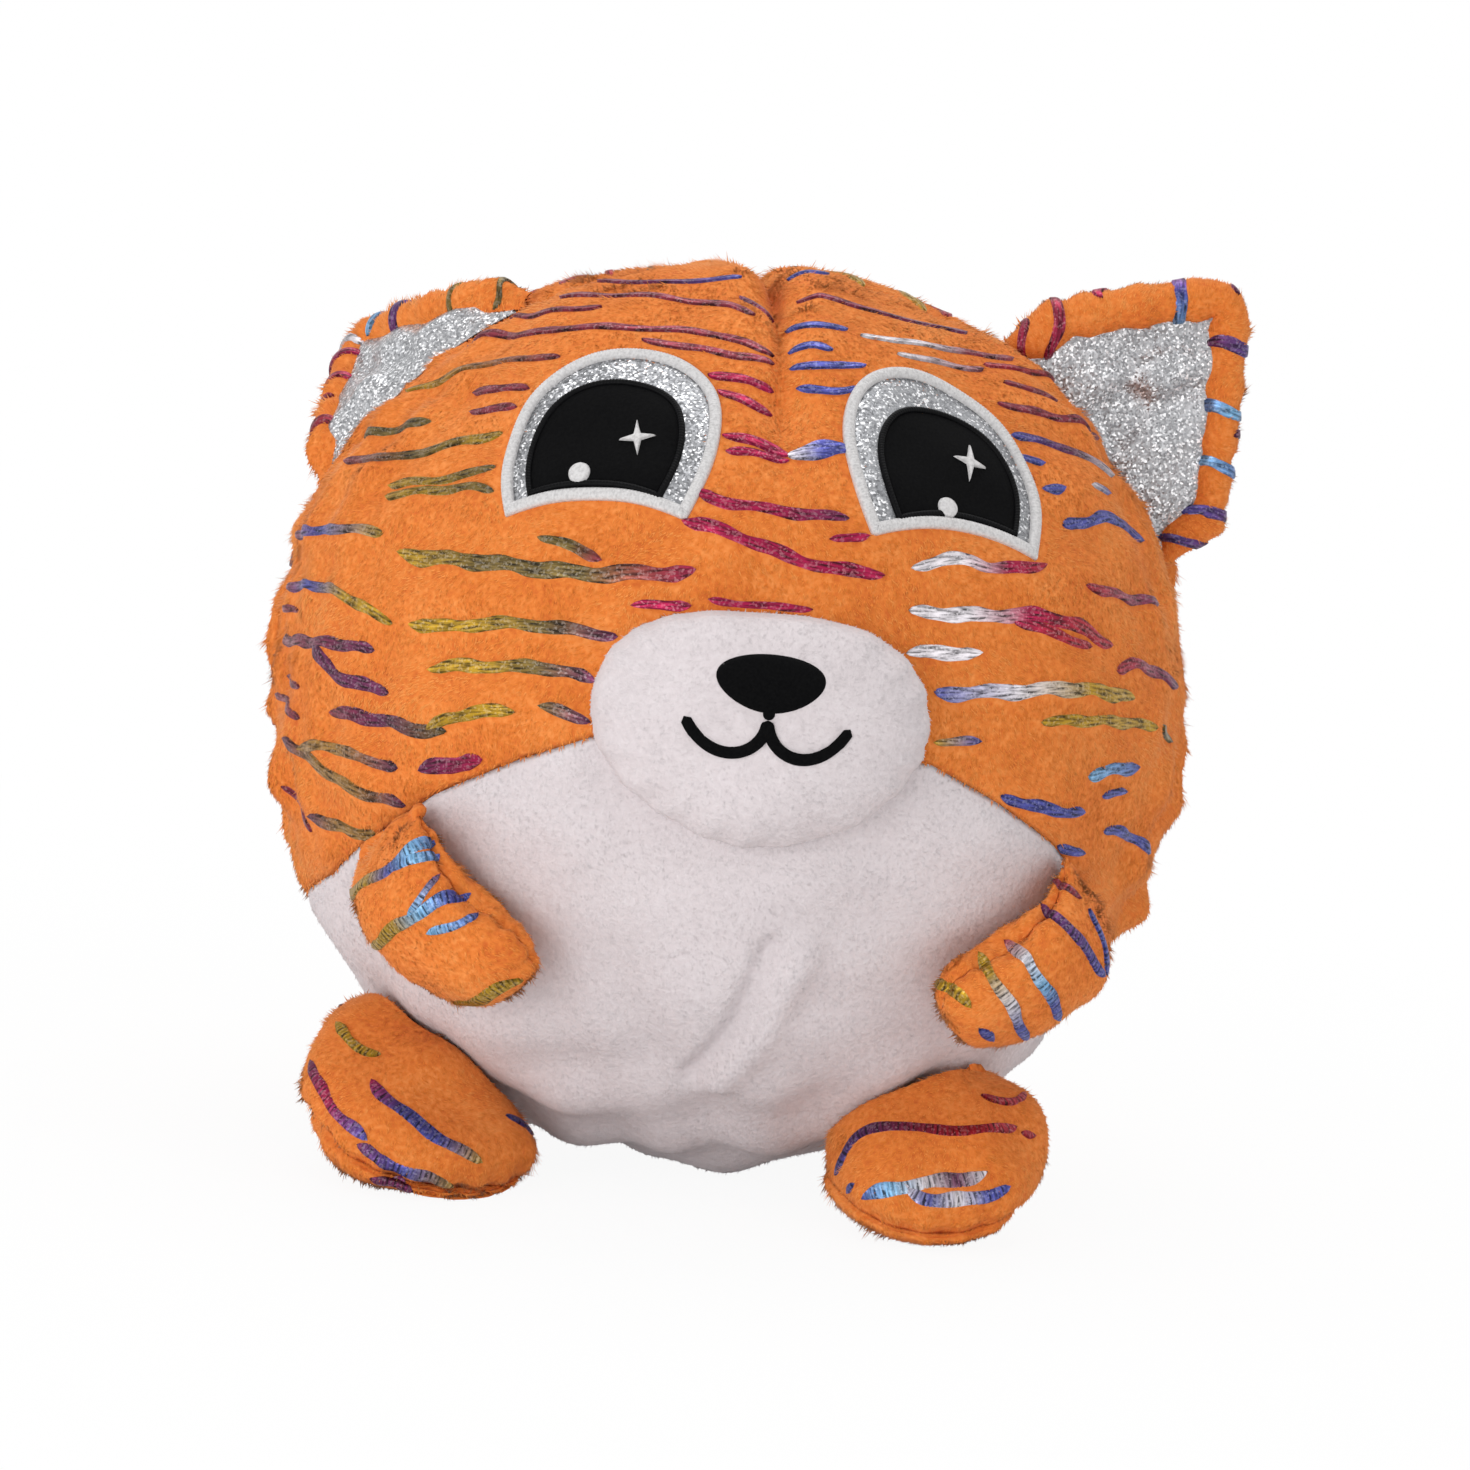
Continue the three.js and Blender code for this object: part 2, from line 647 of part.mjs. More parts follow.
function addArm(parent, side) {
  const root = direction(...tummyFlank);
  const away = ballNormal(root);
  const seam = onBall(direction(...tummyCorner)).sub(onBall(direction(...tummyHip)));
  const along = seam.addScaledVector(away, -seam.dot(away)).normalize();
  const down = new THREE.Vector3().crossVectors(away, along);
  const group = hingeGroup(parent, onBall(root), along, down);
  group.updateMatrix();
  const half = (face) => slab(armGrid(group, face, 0), armGrid(group, face, limbPlush));
  const inner = limbPlush + 2 * gap;
  const fill = slab(armGrid(group, 1, inner), armGrid(group, -1, inner));
  add(group, `${side}_arm_front`, half(1), materials.orangePlush);
  add(group, `${side}_arm_back`, half(-1), materials.orangePlush);
  add(group, `${side}_arm_stuffing`, fill, materials.polyesterFill);
}

// Feet

/** The whole foot from its flat sole to its crown, drawn in by an inset. */
function footShape(inset) {
  const length = footHalfLength - inset;
  const width = footHalfWidth - inset;
  const centre = footHalfLength - footBack;
  const ring = (share, height) =>
    aroundRing(footSides).map((angle) => {
      const back = -share * Math.sin(angle);
      const rise = height(back);
      const across = share * width * Math.cos(angle) - lean(rise);
      return new THREE.Vector3(across, centre - back * length, rise - footHinge);
    });
  const lean = (rise) => footSplay * Math.max(0, rise - footSeam);
  const floor = () => inset;
  const seam = () => footSeam;
  const dome = (share) => (back) =>
    footSeam + (footDome - inset) * Math.sqrt(1 - share ** 2) * (1 + footRake * back);
  const rings = steps(footRings).slice(0, -1).reverse().slice(0, -1).map((s) => Math.sin((s * Math.PI) / 2));
  const crown = dome(0)(0);
  const ends = [
    new THREE.Vector3(0, centre, inset - footHinge),
    new THREE.Vector3(-lean(crown), centre, crown - footHinge),
  ];
  const upper = rings.map((share) => ring(share, dome(share)));
  return solid(loft([ring(soleShare, floor), ring(1, seam), ...upper], ends));
}

/** Distance from the ball's upright axis to its skin at a height, along a longitude. */
function ballReach(longitude, height) {
  const drop = Math.abs(height - ballMiddle.z) / ballDrop;
  const level = (1 - drop ** dropRoundness) ** (1 / dropRoundness);
  const way = direction(longitude, 0);
  return level / Math.hypot(way.x / ballHalfWidth, way.y / ballHalfDepth);
}

function addFoot(parent, side, longitude) {
  const away = direction(longitude, 0);
  const along = new THREE.Vector3().crossVectors(away, new THREE.Vector3(0, 0, 1));
  const origin = away.clone().multiplyScalar(ballReach(longitude, footHinge));
  origin.z = footHinge;
  const group = hingeGroup(parent, origin, along, away);
  const split = footSeam - footHinge;
  const above = solid(box(new THREE.Vector3(-far, -far, split + gap / 2), new THREE.Vector3(far, far, far)));
  const below = solid(box(new THREE.Vector3(-far, -far, -far), new THREE.Vector3(far, far, split - gap / 2)));
  const hollow = footShape(limbPlush).subtract(ballFrom(group, gap + limbPlush));
  const cover = footShape(0).subtract(ballFrom(group, gap)).subtract(hollow);
  const fill = footShape(limbPlush + gap).subtract(ballFrom(group, limbPlush + 2 * gap));
  add(group, `${side}_foot_upper`, geometryOf(cover.intersect(above)), materials.orangePlush);
  add(group, `${side}_foot_sole`, geometryOf(cover.intersect(below)), materials.orangePlush);
  add(group, `${side}_foot_stuffing`, geometryOf(fill), materials.polyesterFill);
}

// The whole toy

const toy = new THREE.Group();
const leftHalf = new THREE.Group();
const rightHalf = new THREE.Group();
leftHalf.scale.x = -1;
toy.add(leftHalf, rightHalf);
addBall(toy);
addMuzzle(toy);
for (const [half, side, earLean, footLongitude] of [
  [leftHalf, "left", leftEarLean, leftFootLongitude],
  [rightHalf, "right", rightEarLean, rightFootLongitude],
]) {
  addEye(half, side);
  addEar(half, side, earLean);
  addArm(half, side);
  addFoot(half, side, footLongitude);
}

export default toy;
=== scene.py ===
# %% [markdown]
# # A plush cat ball
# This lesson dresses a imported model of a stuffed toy: a ball with a cat's face, a white tummy, two ears,
# two arms and two slipper feet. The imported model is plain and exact, and it moves. Here it gets its cloth,
# its pile, its shiny stripes and its embroidery. Every surface is a grid of points worked out with numpy.
# All sizes are in metres, and left and right are the viewer's.

# %% Start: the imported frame
import json

import bmesh
import bpy
import numpy as np
from mathutils import Matrix, Vector
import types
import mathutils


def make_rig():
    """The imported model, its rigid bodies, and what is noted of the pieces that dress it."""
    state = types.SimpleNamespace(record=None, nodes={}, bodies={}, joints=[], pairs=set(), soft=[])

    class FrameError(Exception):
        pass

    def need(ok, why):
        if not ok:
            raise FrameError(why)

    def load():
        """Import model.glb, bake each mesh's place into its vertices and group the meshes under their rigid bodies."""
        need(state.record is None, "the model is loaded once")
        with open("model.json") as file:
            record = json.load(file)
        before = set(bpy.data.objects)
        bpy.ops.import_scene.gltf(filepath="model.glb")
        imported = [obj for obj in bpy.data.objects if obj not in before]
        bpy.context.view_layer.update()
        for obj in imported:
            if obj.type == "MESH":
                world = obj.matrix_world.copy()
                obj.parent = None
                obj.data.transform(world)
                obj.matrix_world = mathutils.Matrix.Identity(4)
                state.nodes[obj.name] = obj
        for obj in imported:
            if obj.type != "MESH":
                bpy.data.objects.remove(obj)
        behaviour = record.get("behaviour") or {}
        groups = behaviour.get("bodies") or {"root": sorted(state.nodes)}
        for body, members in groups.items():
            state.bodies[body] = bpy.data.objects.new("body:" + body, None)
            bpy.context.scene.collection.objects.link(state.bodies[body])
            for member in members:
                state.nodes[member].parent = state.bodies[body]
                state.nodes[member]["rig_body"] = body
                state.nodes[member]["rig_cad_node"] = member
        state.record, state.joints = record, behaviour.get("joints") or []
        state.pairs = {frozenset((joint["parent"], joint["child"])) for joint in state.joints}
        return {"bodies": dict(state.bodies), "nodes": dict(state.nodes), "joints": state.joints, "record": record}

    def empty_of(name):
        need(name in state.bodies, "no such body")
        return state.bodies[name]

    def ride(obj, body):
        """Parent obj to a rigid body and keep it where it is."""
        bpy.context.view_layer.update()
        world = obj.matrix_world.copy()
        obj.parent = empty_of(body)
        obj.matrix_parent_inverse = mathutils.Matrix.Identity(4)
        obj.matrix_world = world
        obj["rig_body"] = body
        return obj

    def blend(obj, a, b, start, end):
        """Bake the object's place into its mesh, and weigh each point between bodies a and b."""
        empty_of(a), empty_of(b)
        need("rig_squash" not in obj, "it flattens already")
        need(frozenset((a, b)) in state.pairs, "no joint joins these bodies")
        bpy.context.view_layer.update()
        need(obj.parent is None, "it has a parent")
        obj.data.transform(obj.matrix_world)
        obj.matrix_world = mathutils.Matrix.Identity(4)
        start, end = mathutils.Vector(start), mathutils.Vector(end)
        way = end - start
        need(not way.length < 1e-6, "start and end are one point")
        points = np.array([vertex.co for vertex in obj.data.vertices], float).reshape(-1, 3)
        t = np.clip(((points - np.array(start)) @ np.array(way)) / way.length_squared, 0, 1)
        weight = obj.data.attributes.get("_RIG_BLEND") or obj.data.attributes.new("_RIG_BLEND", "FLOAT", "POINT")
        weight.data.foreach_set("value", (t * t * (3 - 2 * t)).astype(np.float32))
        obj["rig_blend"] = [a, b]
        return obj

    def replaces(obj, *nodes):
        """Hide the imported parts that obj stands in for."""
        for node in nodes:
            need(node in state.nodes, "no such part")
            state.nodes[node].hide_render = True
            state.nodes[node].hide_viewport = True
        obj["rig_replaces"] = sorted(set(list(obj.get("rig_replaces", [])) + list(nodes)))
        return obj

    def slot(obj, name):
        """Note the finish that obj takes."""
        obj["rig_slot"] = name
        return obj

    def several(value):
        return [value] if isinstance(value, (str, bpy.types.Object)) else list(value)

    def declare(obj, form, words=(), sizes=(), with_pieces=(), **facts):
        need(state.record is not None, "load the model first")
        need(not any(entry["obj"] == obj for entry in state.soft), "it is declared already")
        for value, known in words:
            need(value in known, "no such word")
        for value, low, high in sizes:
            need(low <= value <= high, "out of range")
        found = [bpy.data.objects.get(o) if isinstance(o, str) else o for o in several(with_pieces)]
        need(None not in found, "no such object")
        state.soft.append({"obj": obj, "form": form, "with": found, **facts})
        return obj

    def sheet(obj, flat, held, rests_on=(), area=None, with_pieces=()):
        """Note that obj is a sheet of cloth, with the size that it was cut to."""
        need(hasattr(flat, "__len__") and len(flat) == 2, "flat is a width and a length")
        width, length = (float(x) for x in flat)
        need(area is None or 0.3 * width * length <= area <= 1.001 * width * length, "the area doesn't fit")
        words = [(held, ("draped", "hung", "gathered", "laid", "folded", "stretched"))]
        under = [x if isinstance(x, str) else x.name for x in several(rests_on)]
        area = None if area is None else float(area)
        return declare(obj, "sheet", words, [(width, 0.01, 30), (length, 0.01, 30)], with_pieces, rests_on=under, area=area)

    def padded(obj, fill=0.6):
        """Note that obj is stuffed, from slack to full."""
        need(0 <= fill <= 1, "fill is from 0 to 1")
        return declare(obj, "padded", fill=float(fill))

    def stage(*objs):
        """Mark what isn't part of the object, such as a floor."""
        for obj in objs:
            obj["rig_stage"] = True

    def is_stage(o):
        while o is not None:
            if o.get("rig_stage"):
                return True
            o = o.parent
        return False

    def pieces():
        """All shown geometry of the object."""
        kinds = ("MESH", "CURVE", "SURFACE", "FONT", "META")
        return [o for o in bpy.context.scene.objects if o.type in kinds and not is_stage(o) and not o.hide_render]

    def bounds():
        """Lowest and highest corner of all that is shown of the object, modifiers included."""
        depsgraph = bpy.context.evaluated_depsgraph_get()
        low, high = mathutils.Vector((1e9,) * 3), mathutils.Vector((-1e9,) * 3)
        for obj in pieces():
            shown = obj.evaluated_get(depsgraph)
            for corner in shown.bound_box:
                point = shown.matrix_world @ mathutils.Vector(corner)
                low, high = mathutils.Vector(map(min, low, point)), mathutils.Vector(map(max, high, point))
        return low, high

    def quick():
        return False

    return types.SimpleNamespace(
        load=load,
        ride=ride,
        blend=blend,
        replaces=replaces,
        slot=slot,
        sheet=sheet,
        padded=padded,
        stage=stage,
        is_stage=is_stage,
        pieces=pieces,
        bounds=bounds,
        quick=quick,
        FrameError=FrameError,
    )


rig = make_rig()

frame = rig.load()
cad_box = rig.bounds()
MM = 0.001
SIDES = {"left": -1, "right": 1}
print("bodies:", sorted(frame["bodies"]))

# %% [markdown]
# ## Camera
# The toy was photographed from far away with a long lens, a little from above and a little from its left,
# and it leans a few degrees in the picture. The camera's axes come from those angles, and it is moved
# sideways until the ball's middle falls on the same pixel as in the photograph.

# %% Camera
PHOTO_WIDTH = 1470  # pixels
PIXELS_PER_METRE = 3672  # at the ball's middle
BALL_PIXEL = np.array([724.6, 709.7])
CAMERA_DISTANCE = 2.0
CAMERA_AZIMUTH, CAMERA_ELEVATION, CAMERA_ROLL = np.radians([-5.5, 9, 5.5])
SENSOR = 36  # millimetres
BALL_AIM = np.array([0, 0, 123.5]) * MM


def add_camera():
    """A camera on a sphere round the ball, rolled, then slid sideways to bring the ball to its pixel."""
    focal_pixels = PIXELS_PER_METRE * CAMERA_DISTANCE
    level = np.cos(CAMERA_ELEVATION)
    sine, cosine = np.sin(CAMERA_AZIMUTH), np.cos(CAMERA_AZIMUTH)
    back = np.array([sine * level, -cosine * level, np.sin(CAMERA_ELEVATION)])
    flat_right = np.array([cosine, sine, 0])
    flat_up = np.cross(back, flat_right)
    right = np.cos(CAMERA_ROLL) * flat_right + np.sin(CAMERA_ROLL) * flat_up
    up = np.cos(CAMERA_ROLL) * flat_up - np.sin(CAMERA_ROLL) * flat_right
    offset = (BALL_PIXEL - PHOTO_WIDTH / 2) / PIXELS_PER_METRE
    data = bpy.data.cameras.new("camera")
    data.sensor_width = SENSOR
    data.lens = SENSOR * focal_pixels / PHOTO_WIDTH
    camera = bpy.data.objects.new("camera", data)
    pose = Matrix(np.column_stack([right, up, back]).tolist()).to_4x4()
    pose.translation = BALL_AIM + back * CAMERA_DISTANCE - right * offset[0] + up * offset[1]
    camera.matrix_world = pose
    bpy.context.scene.collection.objects.link(camera)
    bpy.context.scene.camera = camera
    return data.lens


bpy.context.scene.view_settings.view_transform = "Standard"
print("lens", round(add_camera(), 1), "mm")

# %% [markdown]
# ## Colours and nodes
# Colours are written as they look on a screen, in sRGB hex, and Blender computes in linear light, so one
# function converts them. A second small function adds a shader node, sets its inputs and links it.

# %% Colour and node helpers
def linear(code):
    """sRGB hex to linear RGBA: each channel by the sRGB curve."""
    srgb = np.array([int(code[i : i + 2], 16) for i in (1, 3, 5)]) / 255
    rgb = np.where(srgb <= 0.04045, srgb / 12.92, ((srgb + 0.055) / 1.055) ** 2.4)
    return (*rgb.tolist(), 1.0)


def node(tree, kind, inputs=None, **fields):
    """Adds a node: fields are its settings, inputs its sockets, as values or as sockets to link from."""
    made = tree.nodes.new("ShaderNode" + kind)
    for field, value in fields.items():
        setattr(made, field, value)
    for socket, value in (inputs or {}).items():
        if isinstance(value, bpy.types.NodeSocket):
            tree.links.new(value, made.inputs[socket])
        else:
            made.inputs[socket].default_value = value
    return made


def new_material(name, **constants):
    """A material with a bare Principled shader whose constant sockets are set directly."""
    material = bpy.data.materials.new(name)
    material.use_nodes = True
    shader = material.node_tree.nodes["Principled BSDF"]
    for socket, value in constants.items():
        shader.inputs[socket.replace("_", " ")].default_value = value
    return material, material.node_tree, shader


def ramp(tree, factor, *stops):
    """A colour ramp through (place, hex) stops."""
    made = node(tree, "ValToRGB", {"Fac": factor})
    elements = made.color_ramp.elements
    while len(elements) < len(stops):
        elements.new(0.5)
    for element, (position, code) in zip(elements, stops):
        element.position = position
        element.color = linear(code)
    return made.outputs["Color"]


# %% [markdown]
# ## Studio
# The photograph has even, soft light and a white ground. Large area lamps give that, and the world fills in
# the shadows. What the camera sees behind the toy is plain white, set by light path and not by more light.

# %% Studio light and floor
FLOOR_HALF = 6.0
LAMPS = {  # place, size in metres and watts
    "key": ((-1.1, -1.7, 0.9), 1.0, 1.5),
    "low": ((-0.9, -1.6, 0.12), 1.2, 18),
    "left": ((-1.7, -0.35, 0.3), 1.2, 6),
    "fill": ((1.6, -1.3, 0.7), 1.4, 5),
    "top": ((0.1, 0.4, 1.7), 1.4, 13),
}
WORLD_LIGHT = 0.57
FLOOR_GLOW = 0.93  # share of the floor's white that needs no lamp, under the toy
SHADOW_NEAR, SHADOW_FAR = 0.15, 0.55  # the floor turns plain white between these distances


def seen_ray(tree):
    """1 for rays from the camera, and for those that reach it by way of metal or glass."""
    path = node(tree, "LightPath").outputs
    seen = path["Is Camera Ray"]
    for kind in ("Is Glossy Ray", "Is Transmission Ray"):
        seen = node(tree, "Math", {0: seen, 1: path[kind]}, operation="MAXIMUM").outputs[0]
    return seen


def light_studio():
    """A world that is white to look at and dimmer as a light, and area lamps aimed at the ball."""
    world = bpy.data.worlds.new("studio")
    bpy.context.scene.world = world
    world.use_nodes = True
    tree = world.node_tree
    background = tree.nodes["Background"]
    background.inputs["Color"].default_value = linear("#ffffff")
    strength = node(tree, "MapRange", {"Value": seen_ray(tree), "To Min": WORLD_LIGHT, "To Max": 1.0})
    tree.links.new(strength.outputs[0], background.inputs["Strength"])
    for name, (spot, size, watts) in LAMPS.items():
        lamp = bpy.data.lights.new(name, "AREA")
        lamp.size = size
        lamp.energy = watts
        holder = bpy.data.objects.new(name, lamp)
        away = Vector(spot) - Vector(BALL_AIM)
        holder.matrix_world = Matrix.Translation(spot) @ away.to_track_quat("Z", "Y").to_matrix().to_4x4()
        bpy.context.scene.collection.objects.link(holder)


def lay_floor():
    """A wide white sheet under the toy: part plain white, part a surface that takes the shadow."""
    corners = np.array([[-1, -1, 0], [1, -1, 0], [1, 1, 0], [-1, 1, 0]]) * FLOOR_HALF
    mesh = bpy.data.meshes.new("floor")
    mesh.from_pydata(corners.tolist(), [], [(0, 1, 2, 3)])
    floor = bpy.data.objects.new("floor", mesh)
    bpy.context.scene.collection.objects.link(floor)
    material, tree, shader = new_material("white_sweep", Base_Color=linear("#f4f4f4"), Roughness=0.9)
    glow = node(tree, "Emission", {"Color": linear("#ffffff"), "Strength": 1.0})
    place = node(tree, "TexCoord").outputs["Object"]
    away = node(tree, "VectorMath", {0: place}, operation="LENGTH").outputs["Value"]
    reach = {"From Min": SHADOW_NEAR, "From Max": SHADOW_FAR, "To Min": FLOOR_GLOW, "To Max": 1.0}
    white = node(tree, "MapRange", {"Value": away, **reach}, interpolation_type="SMOOTHSTEP")
    share = node(tree, "Math", {0: seen_ray(tree), 1: white.outputs[0]}, operation="MULTIPLY")
    mix = node(tree, "MixShader", {0: share.outputs[0], 1: shader.outputs[0], 2: glow.outputs[0]})
    tree.links.new(mix.outputs[0], tree.nodes["Material Output"].inputs["Surface"])
    mesh.materials.append(material)
    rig.stage(floor)


light_studio()
lay_floor()
print("lamps:", list(LAMPS))

# %% [markdown]
# ## Skins
# A sewn and stuffed piece is one closed skin. Each skin here is a grid of points: rows run along the piece
# and columns run round it and meet again. A place on it is two shares, v along the rows and u round the
# columns. The grid is read with smooth cubic weights, so stripes, patches and pile can sit anywhere on it.

# %% Skin class
class Skin:
    """A grid of points with its normals, and a fine map of where no pile grows."""

    MAP_ROWS, MAP_COLUMNS = 720, 1440

    def __init__(self, grid):
        """Normals are the cross product of the steps round and along, turned away from each row's middle."""
        self.grid = grid
        self.along = np.gradient(grid, axis=0) * (len(grid) - 1)
        self.round = (np.roll(grid, -1, axis=1) - np.roll(grid, 1, axis=1)) / 2 * grid.shape[1]
        normals = np.cross(self.round, self.along)
        outward = (normals * (grid - grid.mean(axis=1, keepdims=True))).sum() > 0
        turn = 1 if outward else -1
        normals[0] = normals[1].mean(axis=0)
        normals[-1] = normals[-2].mean(axis=0)
        size = np.linalg.norm(normals, axis=-1, keepdims=True)
        self.normals = turn * normals / np.maximum(size, 1e-15)
        self.bare = np.zeros((self.MAP_ROWS, self.MAP_COLUMNS), bool)

    def at(self, v, u, lift=0.0):
        """Points over the skin by a lift along its normal, and the normals there."""
        normal = unit(look_up(self.normals, v, u))
        return look_up(self.grid, v, u) + normal * np.asarray(lift)[..., None], normal

    def shift(self, v, u, move):
        """Change of v and u for a small move along the skin: least squares on the two tangents."""
        a, b = look_up(self.along, v, u), look_up(self.round, v, u)
        aa, ab, bb = (a * a).sum(-1), (a * b).sum(-1), (b * b).sum(-1)
        am, bm = (a * move).sum(-1), (b * move).sum(-1)
        area = np.maximum(aa * bb - ab * ab, 1e-12)
        return (am * bb - bm * ab) / area, (bm * aa - am * ab) / area

    def clear(self, v, u):
        """Marks places where no pile grows, and the cells round them."""
        row, column = self.cell(v, u)
        for i in (-1, 0, 1):
            for j in (-1, 0, 1):
                near = np.clip(row + i, 0, self.MAP_ROWS - 1), (column + j) % self.MAP_COLUMNS
                self.bare[near] = True

    def cell(self, v, u):
        """Row and column of a place on the map of bare skin."""
        row = (np.clip(v, 0, 1) * (self.MAP_ROWS - 1)).round().astype(int)
        return row, (u % 1 * self.MAP_COLUMNS).astype(int) % self.MAP_COLUMNS


def look_up(table, v, u):
    """Cubic reading of a table whose columns wrap round: four rows by four columns, weighted."""
    rows, columns = table.shape[:2]
    v, u = np.broadcast_arrays(v, u)
    row = np.clip(v, 0, 1) * (rows - 1)
    column = (u % 1) * columns
    total = 0
    for i, row_weight in cubic_weights(row - np.floor(row)):
        at_row = np.clip(np.floor(row).astype(int) + i, 0, rows - 1)
        for j, column_weight in cubic_weights(column - np.floor(column)):
            at_column = (np.floor(column).astype(int) + j) % columns
            total = total + table[at_row, at_column] * (row_weight * column_weight)[..., None]
    return total


def cubic_weights(t):
    """Offsets and weights of the four neighbours of a place, by the Catmull-Rom cubic."""
    yield -1, (-t + 2 * t**2 - t**3) / 2
    yield 0, (2 - 5 * t**2 + 3 * t**3) / 2
    yield 1, (t + 4 * t**2 - 3 * t**3) / 2
    yield 2, (t**3 - t**2) / 2


def unit(vectors):
    """Vectors scaled to length 1."""
    return vectors / np.maximum(np.linalg.norm(vectors, axis=-1, keepdims=True), 1e-12)


def hump(distance, width):
    """A smooth bump, 1 at distance 0, by the bell curve."""
    return np.exp(-((distance / width) ** 2))


def fade(value, start, end):
    """A smooth step from 0 at start to 1 at end."""
    t = np.clip((value - start) / (end - start), 0, 1)
    return t * t * (3 - 2 * t)


print("skins read with cubic weights")

# %% [markdown]
# Seams, rims, stripes and outlines are lines of points. They are resampled at even steps, so that whatever
# is built along them is evenly fine.

# %% Line helpers
def run_length(line):
    """Length along a line from its start to each of its points: the sum of the steps so far."""
    return np.concatenate([[0], np.cumsum(np.linalg.norm(np.diff(line, axis=0), axis=1))])


def read_line(line, run, spots):
    """Points of a line at given spots of its run, straight between its own points."""
    return np.stack([np.interp(spots, run, column) for column in line.T], axis=-1)


def even_line(line, count):
    """An open line resampled at even steps."""
    run = run_length(line)
    return read_line(line, run, np.linspace(0, run[-1], count))


def even_loop(line, count):
    """A closed line resampled at even steps."""
    return even_line(np.concatenate([line, line[:1]]), count + 1)[:-1]


def round_angles(count):
    """Angles of columns spaced evenly round a full turn."""
    return 2 * np.pi * np.arange(count) / count


def left_of(line):
    """Unit directions to the left of an open line in a plane."""
    along = unit(np.gradient(line, axis=0))
    return np.stack([-along[:, 1], along[:, 0]], axis=-1)


def grown(outline, shares):
    """Copies of an outline, shrunk toward its middle to each of the shares."""
    middle = outline.mean(axis=0)
    return middle + (outline - middle) * np.asarray(shares)[:, None, None]


print("lines resampled at even steps")

# %% [markdown]
# ## From grid to mesh
# A grid becomes a mesh of four-sided faces. Where a whole row lies on one point, such as a pole, its
# corners are merged. All faces are then turned outward.

# %% Mesh helpers
def join_grids(grids):
    """Points and quads of grids whose columns meet again: each face joins two rows and two columns."""
    points, faces, start = [], [], 0
    for grid in grids:
        rows, columns = grid.shape[:2]
        index = start + np.arange(rows * columns).reshape(rows, columns)
        following = np.roll(index, -1, axis=1)
        quads = np.stack([index[:-1], following[:-1], following[1:], index[1:]], axis=-1)
        points.append(grid.reshape(-1, 3))
        faces.append(quads.reshape(-1, 4))
        start += rows * columns
    return np.concatenate(points), np.concatenate(faces)


MERGE = 0.004 * MM
bends = {}  # for a body sewn to the ball: the points between which its pieces go over from the ball to it


def link_piece(name, mesh, materials, body, slot, replaced=()):
    """An object at the origin for a finished mesh, with its materials, its body and what it stands for."""
    piece = bpy.data.objects.new(name, mesh)
    bpy.context.scene.collection.objects.link(piece)
    for material in materials:
        mesh.materials.append(material)
    if body in bends:
        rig.blend(piece, "body", body, *bends[body])
    else:
        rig.ride(piece, body)
    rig.slot(piece, slot)
    if replaced:
        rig.replaces(piece, *replaced)
    return piece


def make_piece(name, grids, material, body, slot, replaced=(), values=None):
    """A smooth piece from grids of points; values are numbers or colours for its points, by name."""
    points, faces = join_grids(grids)
    mesh = bpy.data.meshes.new(name)
    mesh.from_pydata(points.tolist(), [], faces.tolist())
    for label, array in (values or {}).items():
        colour = array.shape[-1] == 4
        layer = mesh.attributes.new(label, "FLOAT_COLOR" if colour else "FLOAT_VECTOR", "POINT")
        layer.data.foreach_set("color" if colour else "vector", array.astype(np.float32).ravel())
    sewn = bmesh.new()
    sewn.from_mesh(mesh)
    bmesh.ops.remove_doubles(sewn, verts=sewn.verts, dist=MERGE)
    bmesh.ops.recalc_face_normals(sewn, faces=sewn.faces)
    sewn.to_mesh(mesh)
    sewn.free()
    mesh.shade_smooth()
    return link_piece(name, mesh, [material], body, slot, replaced)


print("points closer than", MERGE, "m are one")

# %% [markdown]
# ## Cloth and thread
# Plush is a knitted backing with a dense pile. The pile is grown later, strand by strand, so the backing
# only has to look right between the strands: uneven in tone, rough, with the soft glow of fibres at
# grazing angles. Noise at two real sizes makes the tone uneven, and the finer one dents the surface. The
# coarser noise is brushed patches, partly painted lighter and darker as pile catches the light differently.

# %% Plush backing
# size of the brushed patches, painted lighter or darker as the pile catches the light
BRUSHED_SHEEN_PATCH = 16 * MM  # patches brushed one way or the other
PILE_TUFT = 1.6 * MM  # clumps of strands


def plush_backing(name, deep, middle, pale):
    """Knitted polyester with a raised pile: matt, soft at the edges, mottled where it was brushed, partly as painted
    light and shade.
    """
    material, tree, shader = new_material(name, Roughness=0.95, Sheen_Weight=0.15, Sheen_Roughness=0.5)
    shader.inputs["Sheen Tint"].default_value = linear(pale)
    place = node(tree, "TexCoord").outputs["Object"]
    sheen_patches = node(tree, "TexNoise", {"Vector": place, "Scale": 1 / BRUSHED_SHEEN_PATCH, "Detail": 2.0})
    tufts = node(tree, "TexNoise", {"Vector": place, "Scale": 1 / PILE_TUFT, "Detail": 2.0})
    both = node(tree, "Mix", {0: 0.6, 2: sheen_patches.outputs[0], 3: tufts.outputs[0]})
    colour = ramp(tree, both.outputs[0], (0.3, deep), (0.5, middle), (0.7, pale))
    tree.links.new(colour, shader.inputs["Base Color"])
    dents = node(tree, "Bump", {"Height": tufts.outputs[0], "Strength": 0.5, "Distance": 0.5 * MM})
    tree.links.new(dents.outputs[0], shader.inputs["Normal"])
    return material


orange_backing = plush_backing("orange_plush_backing", "#c9601f", "#df7a2e", "#ee9148")
white_backing = plush_backing("white_plush_backing", "#cdc4c6", "#d4cbcd", "#d9d1d3")

# %% [markdown]
# The strands themselves are far too thin for a pattern, so each has one tint, and neighbours differ. A few
# tints, chosen strand by strand, read as the play of light in real pile.

